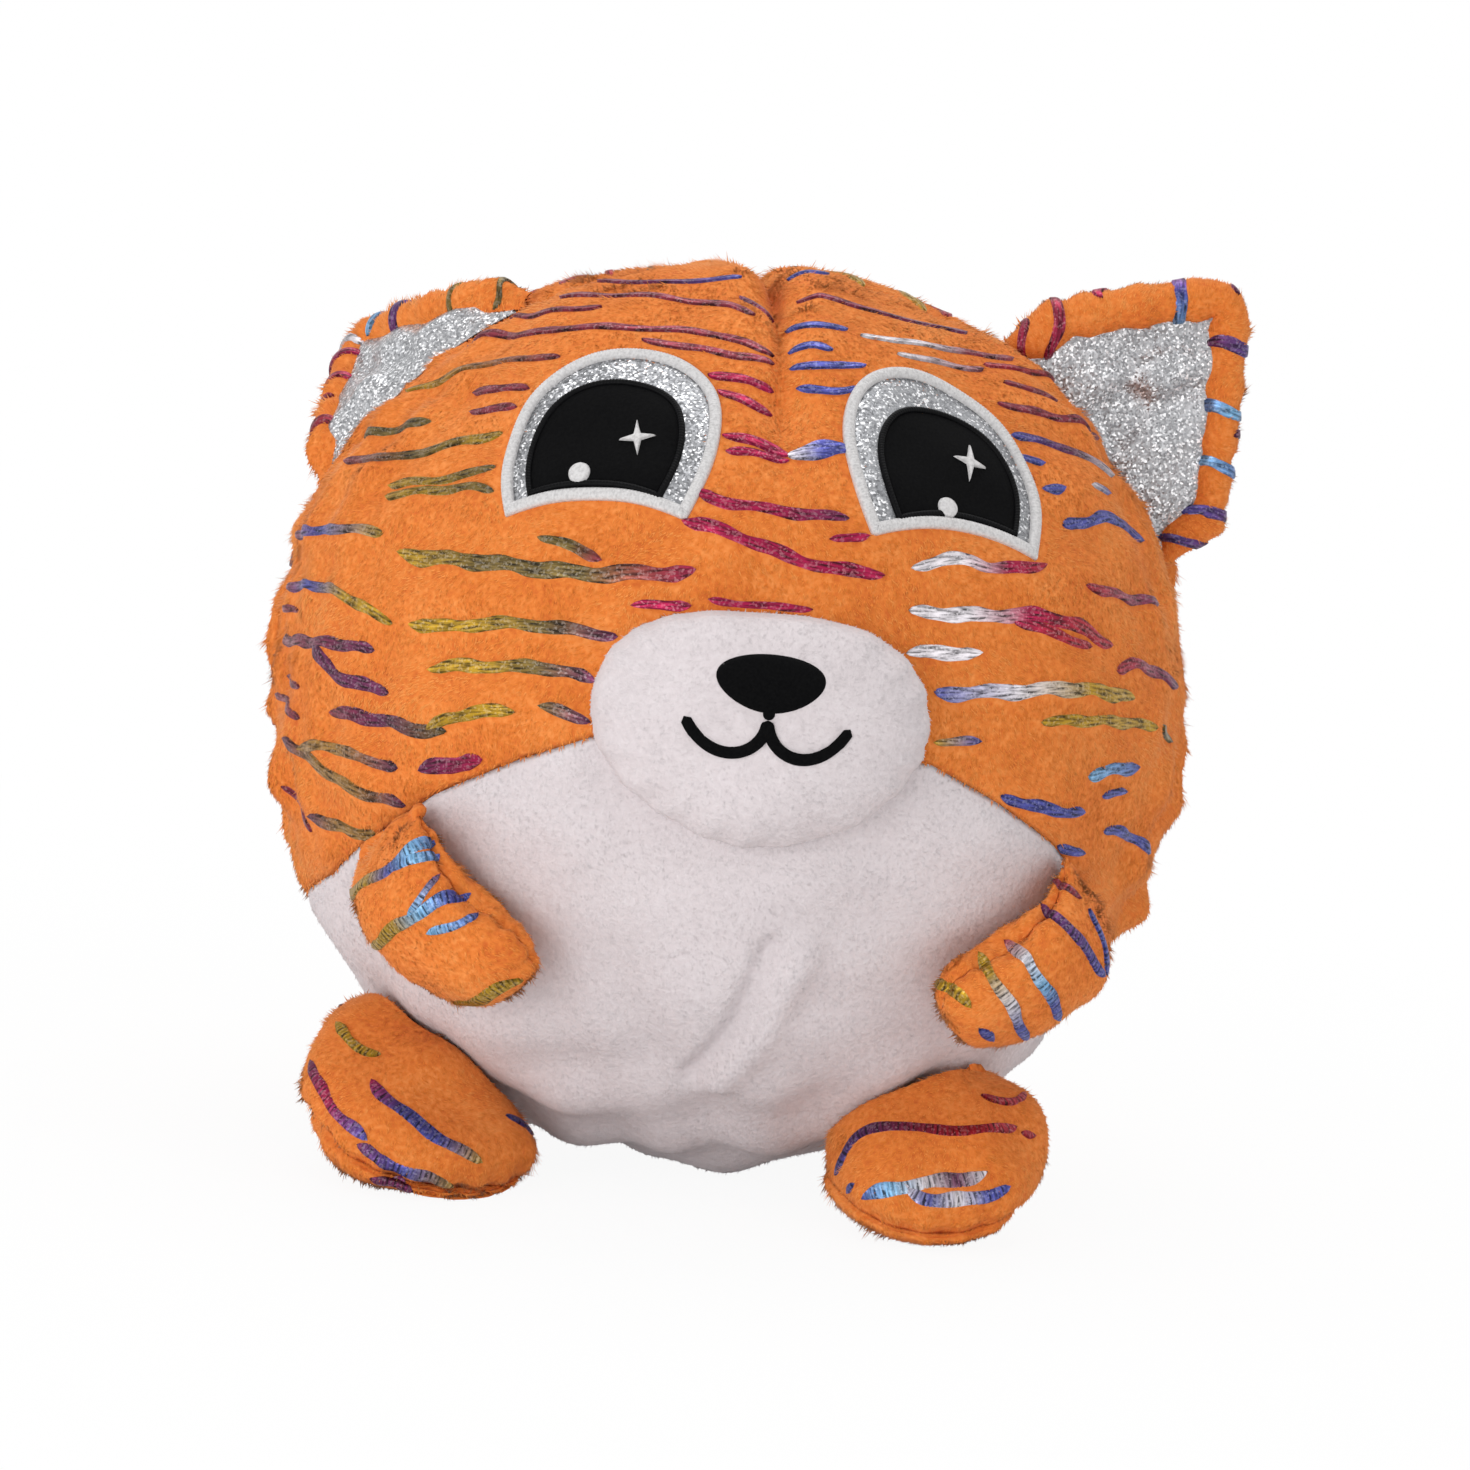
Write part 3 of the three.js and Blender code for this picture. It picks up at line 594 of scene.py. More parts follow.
# %% Strand tints
ORANGE_TINTS = ("#df7828", "#e78231", "#ed8b3b", "#f1984b")
WHITE_TINTS = ("#d2c9cb", "#d5cdcf", "#d8d0d2", "#dcd4d6")


def strand_materials(name, tints):
    """Polyester strands: one material for each tint, matt with a faint glow at the edge."""
    made = []
    for count, tint in enumerate(tints):
        constants = dict(Base_Color=linear(tint), Roughness=0.8, Sheen_Weight=0.1, Specular_IOR_Level=0.25)
        made.append(new_material(f"{name}_{count}", **constants)[0])
    return made


orange_strands = strand_materials("orange_polyester_strand", ORANGE_TINTS)
white_strands = strand_materials("white_polyester_strand", WHITE_TINTS)

# %% [markdown]
# The eyes and the ears' linings are glitter cloth: chips of metal film glued on a grey knit. Voronoi cells
# are the chips. Each cell has its own tilt, so a few flash, and its own tint, painted from dark to near
# white as dark reflections and glints; the rest stay grey.

# %% Glitter cloth
GLITTER_CHIP = 0.55 * MM  # real chips of about 0.4 mm are too fine to show in the picture
CHIP_TILT = 0.45  # how far chips lean out of the cloth


def glitter_cloth(name, dark, middle, light):
    """Metal film chips on grey cloth, each tilted: mid grey, with painted glints and painted dark reflections as
    specks.
    """
    material, tree, shader = new_material(name, Metallic=0.75, Roughness=0.42)
    place = node(tree, "TexCoord").outputs["Object"]
    chips = node(tree, "TexVoronoi", {"Vector": place, "Scale": 1 / GLITTER_CHIP})
    painted_glint_tone = node(tree, "SeparateColor", {0: chips.outputs["Color"]})
    # the ramp paints glints (palest stop) and dark reflections (darkest stop) into each chip's colour
    stops = (0.0, dark), (0.45, middle), (0.8, light), (0.92, "#f4f4f6")
    tree.links.new(ramp(tree, painted_glint_tone.outputs[0], *stops), shader.inputs["Base Color"])
    tilt = node(tree, "VectorMath", {0: chips.outputs["Color"], 1: (0.5, 0.5, 0.5)}, operation="SUBTRACT")
    lean = node(tree, "VectorMath", {0: tilt.outputs[0], "Scale": CHIP_TILT}, operation="SCALE")
    straight = node(tree, "NewGeometry").outputs["Normal"]
    turned = node(tree, "VectorMath", {0: straight, 1: lean.outputs[0]}, operation="ADD")
    facing = node(tree, "VectorMath", {0: turned.outputs[0]}, operation="NORMALIZE")
    tree.links.new(facing.outputs[0], shader.inputs["Normal"])
    return material


eye_glitter = glitter_cloth("silver_glitter_cloth", "#68696c", "#8a8b8e", "#a4a5a8")
# The ears' glitter cloth is a copy painted lighter than the eyes', for the bright reflections of the ear linings.
ear_glitter_painted_bright = glitter_cloth("bright_glitter_cloth", "#7e7f82", "#a2a3a6", "#c0c1c4")

# %% [markdown]
# The pupils, nose and mouth are black cloth, and the white outlines are satin stitch. The stitches are
# modelled as ridges, so their material only needs its silky shine and a mottle painted darker as the
# shade between the threads.

# %% Black cloth and white thread
CLOTH_YARN = 0.8 * MM  # real yarns of about 0.3 mm are too fine to show


def black_felt():
    """Short black flock: nearly black, matt, with a faint mottle that catches the lamps."""
    material, tree, shader = new_material("black_flock", Roughness=0.9, Specular_IOR_Level=0.08)
    place = node(tree, "TexCoord").outputs["Object"]
    mottle = node(tree, "TexNoise", {"Vector": place, "Scale": 1 / CLOTH_YARN, "Detail": 2.0})
    colour = ramp(tree, mottle.outputs[0], (0.3, "#030304"), (0.7, "#0a0a0b"))
    tree.links.new(colour, shader.inputs["Base Color"])
    bump = node(tree, "Bump", {"Height": mottle.outputs[0], "Strength": 0.4, "Distance": 0.2 * MM})
    tree.links.new(bump.outputs[0], shader.inputs["Normal"])
    return material


def satin_thread(name, shade, light, shine):
    """Rayon thread laid side by side: silky, with a mottle painted a little darker as the shade between the threads.
    """
    material, tree, shader = new_material(name, Roughness=0.45, Specular_IOR_Level=shine)
    place = node(tree, "TexCoord").outputs["Object"]
    painted_thread_shade = node(tree, "TexNoise", {"Vector": place, "Scale": 1 / CLOTH_YARN, "Detail": 2.0})
    tree.links.new(ramp(tree, painted_thread_shade.outputs[0], (0.3, shade), (0.6, light)), shader.inputs["Base Color"])
    return material


black_flock = black_felt()
black_thread = satin_thread("black_satin_thread", "#020203", "#08080a", shine=0.08)
white_thread = satin_thread("white_satin_thread", "#bab8b8", "#d2d0d0", shine=0.3)
print("materials so far:", len(bpy.data.materials))

# %% [markdown]
# ## Ball
# The ball is four panels of plush over a round of polyester fill. Its shape is a rounded ellipsoid, lower
# half fuller than the upper, given as a distance from the middle for each longitude and latitude. On top
# of it come the marks of sewing: the dart on the crown, grooves at the seams, puckers where the cloth is
# gathered, soft lumps on the flanks and the back, and the folds of the loosely filled tummy.

# %% Ball formula
BALL_HALF_WIDTH, BALL_HALF_DEPTH = 124 * MM, 118 * MM
BALL_RISE, BALL_DROP = 113 * MM, 135 * MM
RISE_ROUNDNESS, DROP_ROUNDNESS = 2.0, 2.15  # exponents of the outline, 2 for an ellipse
BALL_MIDDLE = np.array([0, 0, 134.5 * MM])
PILE_DEPTH = 1.0 * MM  # the backing lies this far under the outline, which the pile fills
BALL_ROWS, BALL_COLUMNS = 181, 360


def direction(lon, lat):
    """Unit direction in degrees: longitude from the face toward +X, latitude upward."""
    lon, lat = np.broadcast_arrays(np.radians(lon), np.radians(lat))
    return np.stack([np.sin(lon) * np.cos(lat), -np.cos(lon) * np.cos(lat), np.sin(lat)], axis=-1)


def ball_radius(way):
    """Distance from the ball's middle to its outline: a superellipse with unlike upper and lower halves."""
    upper = way[..., 2] > 0
    roundness = np.where(upper, RISE_ROUNDNESS, DROP_ROUNDNESS)
    height = np.where(upper, BALL_RISE, BALL_DROP)
    level = np.hypot(way[..., 0] / BALL_HALF_WIDTH, way[..., 1] / BALL_HALF_DEPTH)
    return (level**roundness + np.abs(way[..., 2] / height) ** roundness) ** (-1 / roundness)


def ball_normal(way):
    """Outward normal of the outline: the steepest rise of its formula, taken by small steps."""
    steps = np.eye(3) * 1e-5

    def over(point):
        size = np.linalg.norm(point, axis=-1)
        return size / ball_radius(point / size[..., None])

    point = way * ball_radius(way)[..., None]
    return unit(np.stack([over(point + step) - over(point - step) for step in steps], axis=-1))


def on_ball(way, lift=0.0):
    """Point on the ball's outline, or lifted over it."""
    return BALL_MIDDLE + way * (ball_radius(way) + lift)[..., None]


def ball_share(way):
    """The two shares of a direction on the ball's skin: v by latitude and u by longitude."""
    lat = np.arcsin(np.clip(way[..., 2], -1, 1))
    return lat / np.pi + 0.5, np.arctan2(way[..., 0], -way[..., 1]) / (2 * np.pi) + 0.5


ball_lat = np.linspace(-90, 90, BALL_ROWS)[:, None]
ball_lon = -180 + 360 * np.arange(BALL_COLUMNS)[None, :] / BALL_COLUMNS
ball_ways = direction(ball_lon, ball_lat)
print("ball's outline over", BALL_ROWS * BALL_COLUMNS, "points")

# %% [markdown]
# Seams and creases are places on the ball in degrees, read off the photograph. A groove is a bell curve of
# the distance to its line, a ridge is one that stands beside it, and a pucker is a bell-shaped lump near a
# seam. Softer lumps are sums of seeded waves.

# %% Seams and creases
TUMMY_SEAM = np.array(  # longitude and latitude of the right half, from the middle to the side
    [[0, -1.2], [21.6, -1.8], [31.7, -6.4], [44.2, -12.9], [49.5, -16.6], [69, -27.5], [90, -34]]
)
TUMMY_CREASE = np.array([[3.9, -27], [2.2, -33], [0.7, -38.4], [-2, -43.5], [-5.1, -48]])
CREASE_RIDGE_SHIFT = [5, 0]  # degrees from the crease to the ridge on its right
SETS_IN = {"dart": (39.3, 47.3), "crown": (62, 84)}  # latitudes between which each comes to its full depth
GROOVES = {  # depth and half width in millimetres
    "dart": (2.6, 2.2), "crown": (4.0, 5.0), "back": (2.2, 3.5),
    "side": (2.4, 2.6), "tummy": (1.6, 2.4), "crease": (4.2, 3.0),
}
RIDGES = {  # height, half width and distance from the line in millimetres
    "dart": (1.0, 7.0, 9.0), "crown": (3.4, 16.0, 14.0), "crease": (2.6, 5.0, 0.0),
}
LUMPS = {  # height and size in millimetres, and seed
    "broad": (0.8, 60, 3), "fine": (0.35, 22, 4), "flank": (0.9, 17, 7), "fold": (1.3, 24, 6),
}
FOLD_UPRIGHT = 0.35  # heights count this much for the folds low on the front, so they run upright
SIDE_SEAM_RADIUS = 120 * MM
GATHER_HEIGHT, GATHER_REACH, GATHER_STEP = 0.9 * MM, 9 * MM, 18 * MM  # small folds across the side seams
PUCKERS = np.array(  # longitude, latitude, radius and height in millimetres, along the two side seams
    [
        [-93, 14, 8, 1.6], [-91, -1, 9, 7.0], [-90, -9, 8, 4.6], [-88, -20, 9, 0.8], [-83, -31, 9, 2.4],
        [93, 16, 8, 4.0], [92, 3, 8, -0.8], [90, -10, 9, 1.0], [85, -25, 8, 5.4], [76, -39, 10, -3.0],
        [71, -19, 9, 2.2], [63, -26.5, 8, 2.4], [90, 30, 9, 1.8], [-90, 28, 9, 2.0],
    ]
)
FLOOR_GAP = 0.3 * MM


def swell(points, size, seed, waves=9):
    """Soft irregular rise and fall between about -1 and 1: a sum of seeded sine waves of one size."""
    random = np.random.default_rng(seed)
    ways = unit(random.normal(size=(waves, 3))) * 2 * np.pi / size
    phases = random.uniform(0, 2 * np.pi, waves)
    return np.sin(points @ ways.T + phases).sum(axis=-1) / np.sqrt(waves / 2)


def line_distance(points, line):
    """Distance from points to a line of closely spaced points."""
    return np.min([np.linalg.norm(points - spot, axis=-1) for spot in line], axis=0)


def ball_line(stops, count=60):
    """Closely spaced points on the ball along straight runs between (longitude, latitude) stops."""
    share = np.linspace(0, len(stops) - 1, count)
    lon, lat = read_line(stops, np.arange(len(stops)), share).T
    return on_ball(direction(lon, lat))


def tummy_latitude(lon):
    """Latitude of the seam between face and tummy at a longitude."""
    return np.interp(np.abs(lon), TUMMY_SEAM[:, 0], TUMMY_SEAM[:, 1])


def groove(kind, distance):
    """A dip along a line: a bell curve of the distance to it, downward."""
    depth, half_width = GROOVES[kind]
    return -depth * MM * hump(distance, half_width * MM)


def ridge(kind, distance):
    """A rise beside a line: a bell curve round its own distance from it."""
    height, half_width, beside = RIDGES[kind]
    return height * MM * hump(distance - beside * MM, half_width * MM)


def lumps(kind, points):
    """Soft lumps of one height and size."""
    height, size, seed = LUMPS[kind]
    return height * MM * swell(points, size * MM, seed)


def ball_relief(lon, lat, points):
    """Rise of the skin over the plain outline: grooves, puckers, creases, lumps and a general unevenness."""
    x, y = points[..., 0], points[..., 1]
    front = fade(-y, -5 * MM, 5 * MM)
    rise = lumps("broad", points) + lumps("fine", points)
    for kind, latitudes in SETS_IN.items():
        rise += front * fade(lat, *latitudes) * (ridge(kind, np.abs(x)) + groove(kind, x))
    rise += (1 - front) * groove("back", x)
    wave = 2 * np.pi * np.radians(lat) * SIDE_SEAM_RADIUS / GATHER_STEP + 2 * swell(points, 40 * MM, seed=5)
    rise += GATHER_HEIGHT * np.sin(wave) * hump(y, GATHER_REACH) + groove("side", y)
    for mirror in SIDES.values():
        away = line_distance(points, ball_line(TUMMY_SEAM * [mirror, 1]))
        rise += groove("tummy", away) * fade(np.abs(lon), 20, 30)
    for pucker_lon, pucker_lat, radius, height in PUCKERS:
        away = np.linalg.norm(points - on_ball(direction(pucker_lon, pucker_lat)), axis=-1)
        rise += height * MM * hump(away, radius * MM)
    crease = line_distance(points, ball_line(TUMMY_CREASE))
    beside = line_distance(points, ball_line(TUMMY_CREASE + CREASE_RIDGE_SHIFT))
    rise += ridge("crease", beside) + groove("crease", crease)
    seam_lat = tummy_latitude(lon)
    flank = fade(np.abs(lon), 55, 75) * fade(lat, seam_lat, seam_lat + 8) * fade(lat, 60, 45)
    rise += flank * lumps("flank", points)
    low = fade(lat, -38, -52) * front
    return rise + low * lumps("fold", points * [1, 1, FOLD_UPRIGHT])


def stand(points):
    """Keeps points on or over the floor."""
    points[..., 2] = np.maximum(points[..., 2], FLOOR_GAP)
    return points


outline_points = on_ball(ball_ways, -PILE_DEPTH)
relief = ball_relief(ball_lon, ball_lat, outline_points)
print("relief from", round(relief.min() / MM, 1), "to", round(relief.max() / MM, 1), "mm")

# %% [markdown]
# The marks above are drawn, but the way cloth pulls between its seams is best left to physics. A coarse
# copy of the closed skin is blown up by pressure while its seams are gathered, with Blender's cloth
# simulation. Only the movement of each point is kept, never more than a few millimetres, and the fine skin
# follows it.

# %% Cloth simulation
SETTLE_FRAMES = 20
SETTLE_CAP = 4 * MM
SEAM_GATHER = 0.025  # share by which a seam is shorter than the cloth beside it
GATHER_LEVELS = 8


def settle(grid, gather):
    """Moves of a grid's points when its closed skin is inflated and gathered where gather is 1."""
    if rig.quick():
        return np.zeros_like(grid)
    rows, columns = grid.shape[:2]
    points, faces = join_grids([grid])
    ends = [list(range(columns)), list(range((rows - 1) * columns, rows * columns))]
    mesh = bpy.data.meshes.new("settling")
    mesh.from_pydata(points.tolist(), [], faces.tolist() + ends)
    closed = bmesh.new()
    closed.from_mesh(mesh)
    bmesh.ops.recalc_face_normals(closed, faces=closed.faces)
    closed.to_mesh(mesh)
    closed.free()
    bag = bpy.data.objects.new("settling", mesh)
    bpy.context.scene.collection.objects.link(bag)
    seam = bag.vertex_groups.new(name="seam")
    levels = np.round(gather.ravel() * GATHER_LEVELS) / GATHER_LEVELS
    for level in np.unique(levels):
        seam.add(np.flatnonzero(levels == level).tolist(), float(level), "REPLACE")
    cloth = bag.modifiers.new("cloth", "CLOTH").settings
    cloth.quality, cloth.mass, cloth.air_damping = 5, 0.3, 5
    cloth.tension_stiffness = cloth.compression_stiffness = 15
    cloth.shear_stiffness, cloth.bending_stiffness = 5, 0.5
    cloth.use_pressure = True
    cloth.uniform_pressure_force = 4
    cloth.effector_weights.gravity = 0
    cloth.vertex_group_shrink = seam.name
    cloth.shrink_max = SEAM_GATHER
    for step in range(1, SETTLE_FRAMES + 1):
        bpy.context.scene.frame_set(step)
    settled = bag.evaluated_get(bpy.context.evaluated_depsgraph_get()).data
    after = np.empty(len(points) * 3, np.float32)
    settled.vertices.foreach_get("co", after)
    move = after.reshape(grid.shape) - grid
    bpy.context.scene.frame_set(1)
    bpy.data.objects.remove(bag)
    size = np.maximum(np.linalg.norm(move, axis=-1, keepdims=True), 1e-9)
    return move * np.minimum(1, SETTLE_CAP / size)


def settled_grid(grid, gather, row_step, column_step):
    """A fine grid moved as a coarse copy of it settles; the copy leaves out the rows at the two ends."""
    first, last = row_step, len(grid) - 1 - (len(grid) - 1) % row_step - row_step
    coarse = grid[first : last + 1 : row_step, ::column_step]
    move = settle(coarse, gather[first : last + 1 : row_step, ::column_step])
    v = (np.arange(len(grid))[:, None] - first) / (last - first)
    u = np.arange(grid.shape[1])[None, :] / grid.shape[1]
    return grid + look_up(move, v, u)


ball_gather = np.maximum.reduce(
    [hump(outline_points[..., 1], 5 * MM), hump(outline_points[..., 0], 5 * MM) * fade(ball_lat, 40, 55)]
)
ball_grid = settled_grid(outline_points, ball_gather, row_step=4, column_step=4)
ball_skin = Skin(stand(ball_grid + ball_ways * relief[..., None]))
print("settled by up to", round(np.abs(ball_grid - outline_points).max() / MM, 1), "mm")

# %% [markdown]
# A panel is a piece of that skin between two latitudes and two longitudes. It gets an underside that meets
# its top along the whole edge, so it is one closed piece, thin as cloth.

# %% Ball panels
PLUSH = 1.5 * MM  # thickness of the backing


def cloth_panel(skin, v, u):
    """A grid of a skin's points and, folded under it, the same points sunk by the cloth's thickness."""
    v, u = np.broadcast_arrays(v, u)
    rows = np.sin(np.pi * np.linspace(0, 1, v.shape[0]))[:, None]
    columns = np.sin(np.pi * np.linspace(0, 1, v.shape[1]))[None, :]
    depth = PLUSH * np.minimum(1, 8 * rows) * np.minimum(1, 8 * columns)
    over, under = skin.at(v, u)[0], skin.at(v, u, -depth)[0]
    return np.concatenate([over, under[:, ::-1]], axis=1)


def ball_panel(name, lon, low, high, material, slot, nodes, rows=110):
    """A panel of the ball between two latitudes that may change with the longitude."""
    share = np.linspace(0, 1, rows)[:, None]
    lat = low + (high - low) * share
    v, u = lat / 180 + 0.5, lon / 360 + 0.5
    return make_piece(name, [cloth_panel(ball_skin, v, u)], material, "body", slot, nodes)


front_lon = np.linspace(-90, 90, 181)[None, :]
back_lon = np.linspace(90, 180, 91)[None, :]
seam_lat = tummy_latitude(front_lon)
panels = {  # longitudes, lowest and highest latitudes, cloth, slot and the solids that the panel stands for
    "face": (front_lon, seam_lat, 90, orange_backing, "orange_plush", ["face_panel", "body_stuffing"]),
    "tummy": (front_lon, -90, seam_lat, white_backing, "white_plush", ["tummy_panel"]),
    "back_right": (back_lon, -90, 90, orange_backing, "orange_plush", ["back_right_panel"]),
    "back_left": (-back_lon, -90, 90, orange_backing, "orange_plush", ["back_left_panel"]),
}
for name, panel in panels.items():
    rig.padded(ball_panel(f"{name}_cloth", *panel), 0.8)
print("panels:", list(panels))

# %% [markdown]
# ## Muzzle, nose and mouth
# The muzzle is a white padded oval sewn on the face, wider above than below. Its height over the ball falls
# from the crown to the edge along a power curve, flat on top and steep at the rim. Its edge is puckered a
# little, where the cloth was turned in and stitched. The nose and mouth are flat black shapes on it.

# %% Muzzle
MUZZLE_LONGITUDE, MUZZLE_LATITUDE = -0.7, 1.3
MUZZLE_HALF_WIDTH, MUZZLE_HALF_HEIGHT, MUZZLE_DEPTH = 47.6 * MM, 32 * MM, 22 * MM
MUZZLE_UPPER_ROUNDNESS, MUZZLE_LOWER_ROUNDNESS = 2.7, 1.7
MUZZLE_CROWN, MUZZLE_EDGE = 2.2, 0.6
MUZZLE_ROWS, MUZZLE_COLUMNS = 49, 144
MUZZLE_PUCKERS, MUZZLE_PUCKER = 19, 0.7 * MM  # number and height of the puckers round its edge
MUZZLE_DENT, MUZZLE_DENT_SIZE = 0.5 * MM, 30 * MM
MUZZLE_TUCK, MUZZLE_UNDER = 3 * MM, 4 * MM  # its edge is turned in, its underside lies in the ball
MUZZLE_BARE = 0.97  # share of the muzzle under which the ball has no pile


def ball_frame(lon, lat):
    """A function that turns places across and up, in metres, into directions from the ball's middle."""
    out, across, up = direction(lon, lat), direction(lon + 90, 0), direction(lon, lat + 90)
    reach = ball_radius(out)
    return lambda a, b: unit(out * reach + across * np.asarray(a)[..., None] + up * np.asarray(b)[..., None])


def muzzle_rim(angle):
    """Edge of the muzzle: an upper and a lower half superellipse."""
    power = 2 / np.where(np.sin(angle) > 0, MUZZLE_UPPER_ROUNDNESS, MUZZLE_LOWER_ROUNDNESS)
    across = np.sign(np.cos(angle)) * np.abs(np.cos(angle)) ** power
    up = np.sign(np.sin(angle)) * np.abs(np.sin(angle)) ** power
    return MUZZLE_HALF_WIDTH * across, MUZZLE_HALF_HEIGHT * up


def muzzle_share(a, b):
    """The shares of a place on the muzzle's skin: v by its way out to the edge and u by its angle."""
    roundness = np.where(b > 0, MUZZLE_UPPER_ROUNDNESS, MUZZLE_LOWER_ROUNDNESS)
    across, up = np.abs(a / MUZZLE_HALF_WIDTH), np.abs(b / MUZZLE_HALF_HEIGHT)
    share = (across**roundness + up**roundness) ** (1 / roundness)
    angle = np.arctan2(np.sign(b) * up ** (roundness / 2), np.sign(a) * across ** (roundness / 2))
    return 1 - np.sqrt(np.maximum(0, 1 - share)), angle / (2 * np.pi)


muzzle_place = ball_frame(MUZZLE_LONGITUDE, MUZZLE_LATITUDE)
muzzle_v = np.linspace(0, 1, MUZZLE_ROWS)[:, None]
muzzle_angle = round_angles(MUZZLE_COLUMNS)[None, :]
out_share = 1 - (1 - muzzle_v) ** 2
rim_across, rim_up = muzzle_rim(muzzle_angle)
muzzle_ways = muzzle_place(rim_across * out_share, rim_up * out_share)
pillow = MUZZLE_DEPTH * np.maximum(0, 1 - out_share**MUZZLE_CROWN) ** MUZZLE_EDGE
plain_muzzle = on_ball(muzzle_ways, pillow * np.ones_like(muzzle_angle) - PILE_DEPTH)
edge_gather = fade(out_share, 0.85, 1.0) * np.ones_like(muzzle_angle)
muzzle_grid = settled_grid(plain_muzzle, edge_gather, row_step=2, column_step=3)
pucker_wave = np.sin(MUZZLE_PUCKERS * muzzle_angle + 1.5 * np.sin(3 * muzzle_angle))
pucker = MUZZLE_PUCKER * pucker_wave * fade(out_share, 0.55, 0.9)
uneven = MUZZLE_DENT * swell(plain_muzzle, MUZZLE_DENT_SIZE, seed=8)
tuck = -MUZZLE_TUCK * (out_share == 1)
muzzle_skin = Skin(muzzle_grid + muzzle_ways * (pucker + uneven + tuck)[..., None])
muzzle_nodes = ["muzzle_cover", "muzzle_stuffing"]
muzzle_under = on_ball(muzzle_ways[::-1], -MUZZLE_UNDER * np.ones_like(pucker))
muzzle_shell = np.concatenate([muzzle_skin.grid, muzzle_under[::4]])
muzzle = make_piece("muzzle_cloth", [muzzle_shell], white_backing, "body", "white_plush", muzzle_nodes)
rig.padded(muzzle, 0.9)
muzzle_edge = np.array(muzzle_rim(muzzle_angle[0]))[:, :, None]
ball_skin.clear(*ball_share(muzzle_place(*(muzzle_edge * np.linspace(0, MUZZLE_BARE, 120)))))
print("muzzle", MUZZLE_ROWS, "by", MUZZLE_COLUMNS, "points")

# %% [markdown]
# A flat shape inside an outline is made of rings that grow from its middle to its edge, turn down there,
# and come back underneath. The nose is one such shape, and the mouth is three bands with rounded ends.

# %% Flat shapes on a skin
PATCH_ROWS = 14
PATCH_UNDERSIDE = [0.97, 0.5, 0.0]  # shares of the rings underneath
PATCH_SINK = 0.6 * MM  # how far the edges of patches and stitches reach under the skin
BAND_COLUMNS = 10


def flat_shape(outline, place, height, crown=0.0):
    """Rings from the middle of an outline to its edge and back underneath, with a rounded edge."""
    share = np.concatenate([np.sin(np.linspace(0, np.pi / 2, PATCH_ROWS)), PATCH_UNDERSIDE])
    fall = np.sqrt(np.maximum(0, 1 - share**12))
    lift = -PATCH_SINK + (height + PATCH_SINK) * fall + crown * (1 - share**2)
    lift[PATCH_ROWS:] = -PATCH_SINK
    spots = grown(outline, share)
    return place(spots[..., 0], spots[..., 1], lift[:, None] * np.ones(len(outline)))


def band(line, half_width, place, height):
    """A low arched strip along a line of places, whose ends are round and closed."""
    run = run_length(line)
    end = np.minimum(run, run[-1] - run)
    half = half_width * np.sqrt(np.clip(1 - (1 - np.minimum(1, end / half_width)) ** 2, 0, 1))
    angle = round_angles(BAND_COLUMNS)
    across, rise = np.cos(angle), np.sin(angle)
    spots = line[:, None] + left_of(line)[:, None] * (half[:, None] * across)[..., None]
    lift = np.where(rise > 0, np.sqrt(np.abs(rise)) * height, -PATCH_SINK) * (half > 0)[:, None]
    return place(spots[..., 0], spots[..., 1], lift)


def on_muzzle(a, b, lift):
    """Points over the muzzle's skin."""
    return muzzle_skin.at(*muzzle_share(a, b), lift)[0]


def bezier(*stops, count=40):
    """Points of a Bezier curve: repeated blends between its stops."""
    share = np.linspace(0, 1, count)[:, None]
    rows = [np.array(stop, float) * np.ones((count, 1)) for stop in stops]
    while len(rows) > 1:
        rows = [a + (b - a) * share for a, b in zip(rows, rows[1:])]
    return rows[0]


NOSE_HALF_WIDTH, NOSE_HALF_HEIGHT, NOSE_RISE = 12.3 * MM, 6.6 * MM, 13.0 * MM
NOSE_TAPER, NOSE_CROWN = 0.2, 0.4 * MM
MOUTH_HALF_LINE = 1.4 * MM
MOUTH_MEET, MOUTH_DROP = np.array([0, 5.0]) * MM, np.array([0.3, -3.2]) * MM
MOUTH_DIP, MOUTH_END = np.array([11.5, -7.5]) * MM, np.array([18.6, 4.2]) * MM
FLOCK_HEIGHT = 0.9 * MM
turn = round_angles(72)
nose_across = NOSE_HALF_WIDTH * (1 + NOSE_TAPER * np.sin(turn)) * np.cos(turn)
nose_outline = np.stack([nose_across, NOSE_RISE + NOSE_HALF_HEIGHT * np.sin(turn)], axis=-1)
nose_grid = flat_shape(nose_outline, on_muzzle, FLOCK_HEIGHT, crown=NOSE_CROWN)
make_piece("nose_flock", [nose_grid], black_flock, "body", "black_cloth", ["nose_patch"])
stem = bezier(MOUTH_MEET, [0, NOSE_RISE - 0.7 * NOSE_HALF_HEIGHT])
smile_stops = np.array([MOUTH_MEET, MOUTH_DROP, MOUTH_DIP, MOUTH_END])
smiles = [bezier(*(smile_stops * [mirror, 1])) for mirror in SIDES.values()]
mouth_grids = [band(line, MOUTH_HALF_LINE, on_muzzle, FLOCK_HEIGHT) for line in [stem, *smiles]]
make_piece("mouth_flock", mouth_grids, black_flock, "body", "black_cloth", ["mouth_patch"])
print("nose and mouth on the muzzle")

# %% [markdown]
# ## Eyes
# Each eye is embroidery: a glitter patch, a black pupil with a corded edge, a thick white satin border, a
# star and a dot. Satin stitch is many threads side by side across a line, so the border's section is an
# arch and its height ripples along the line, one slanted ripple for each thread.

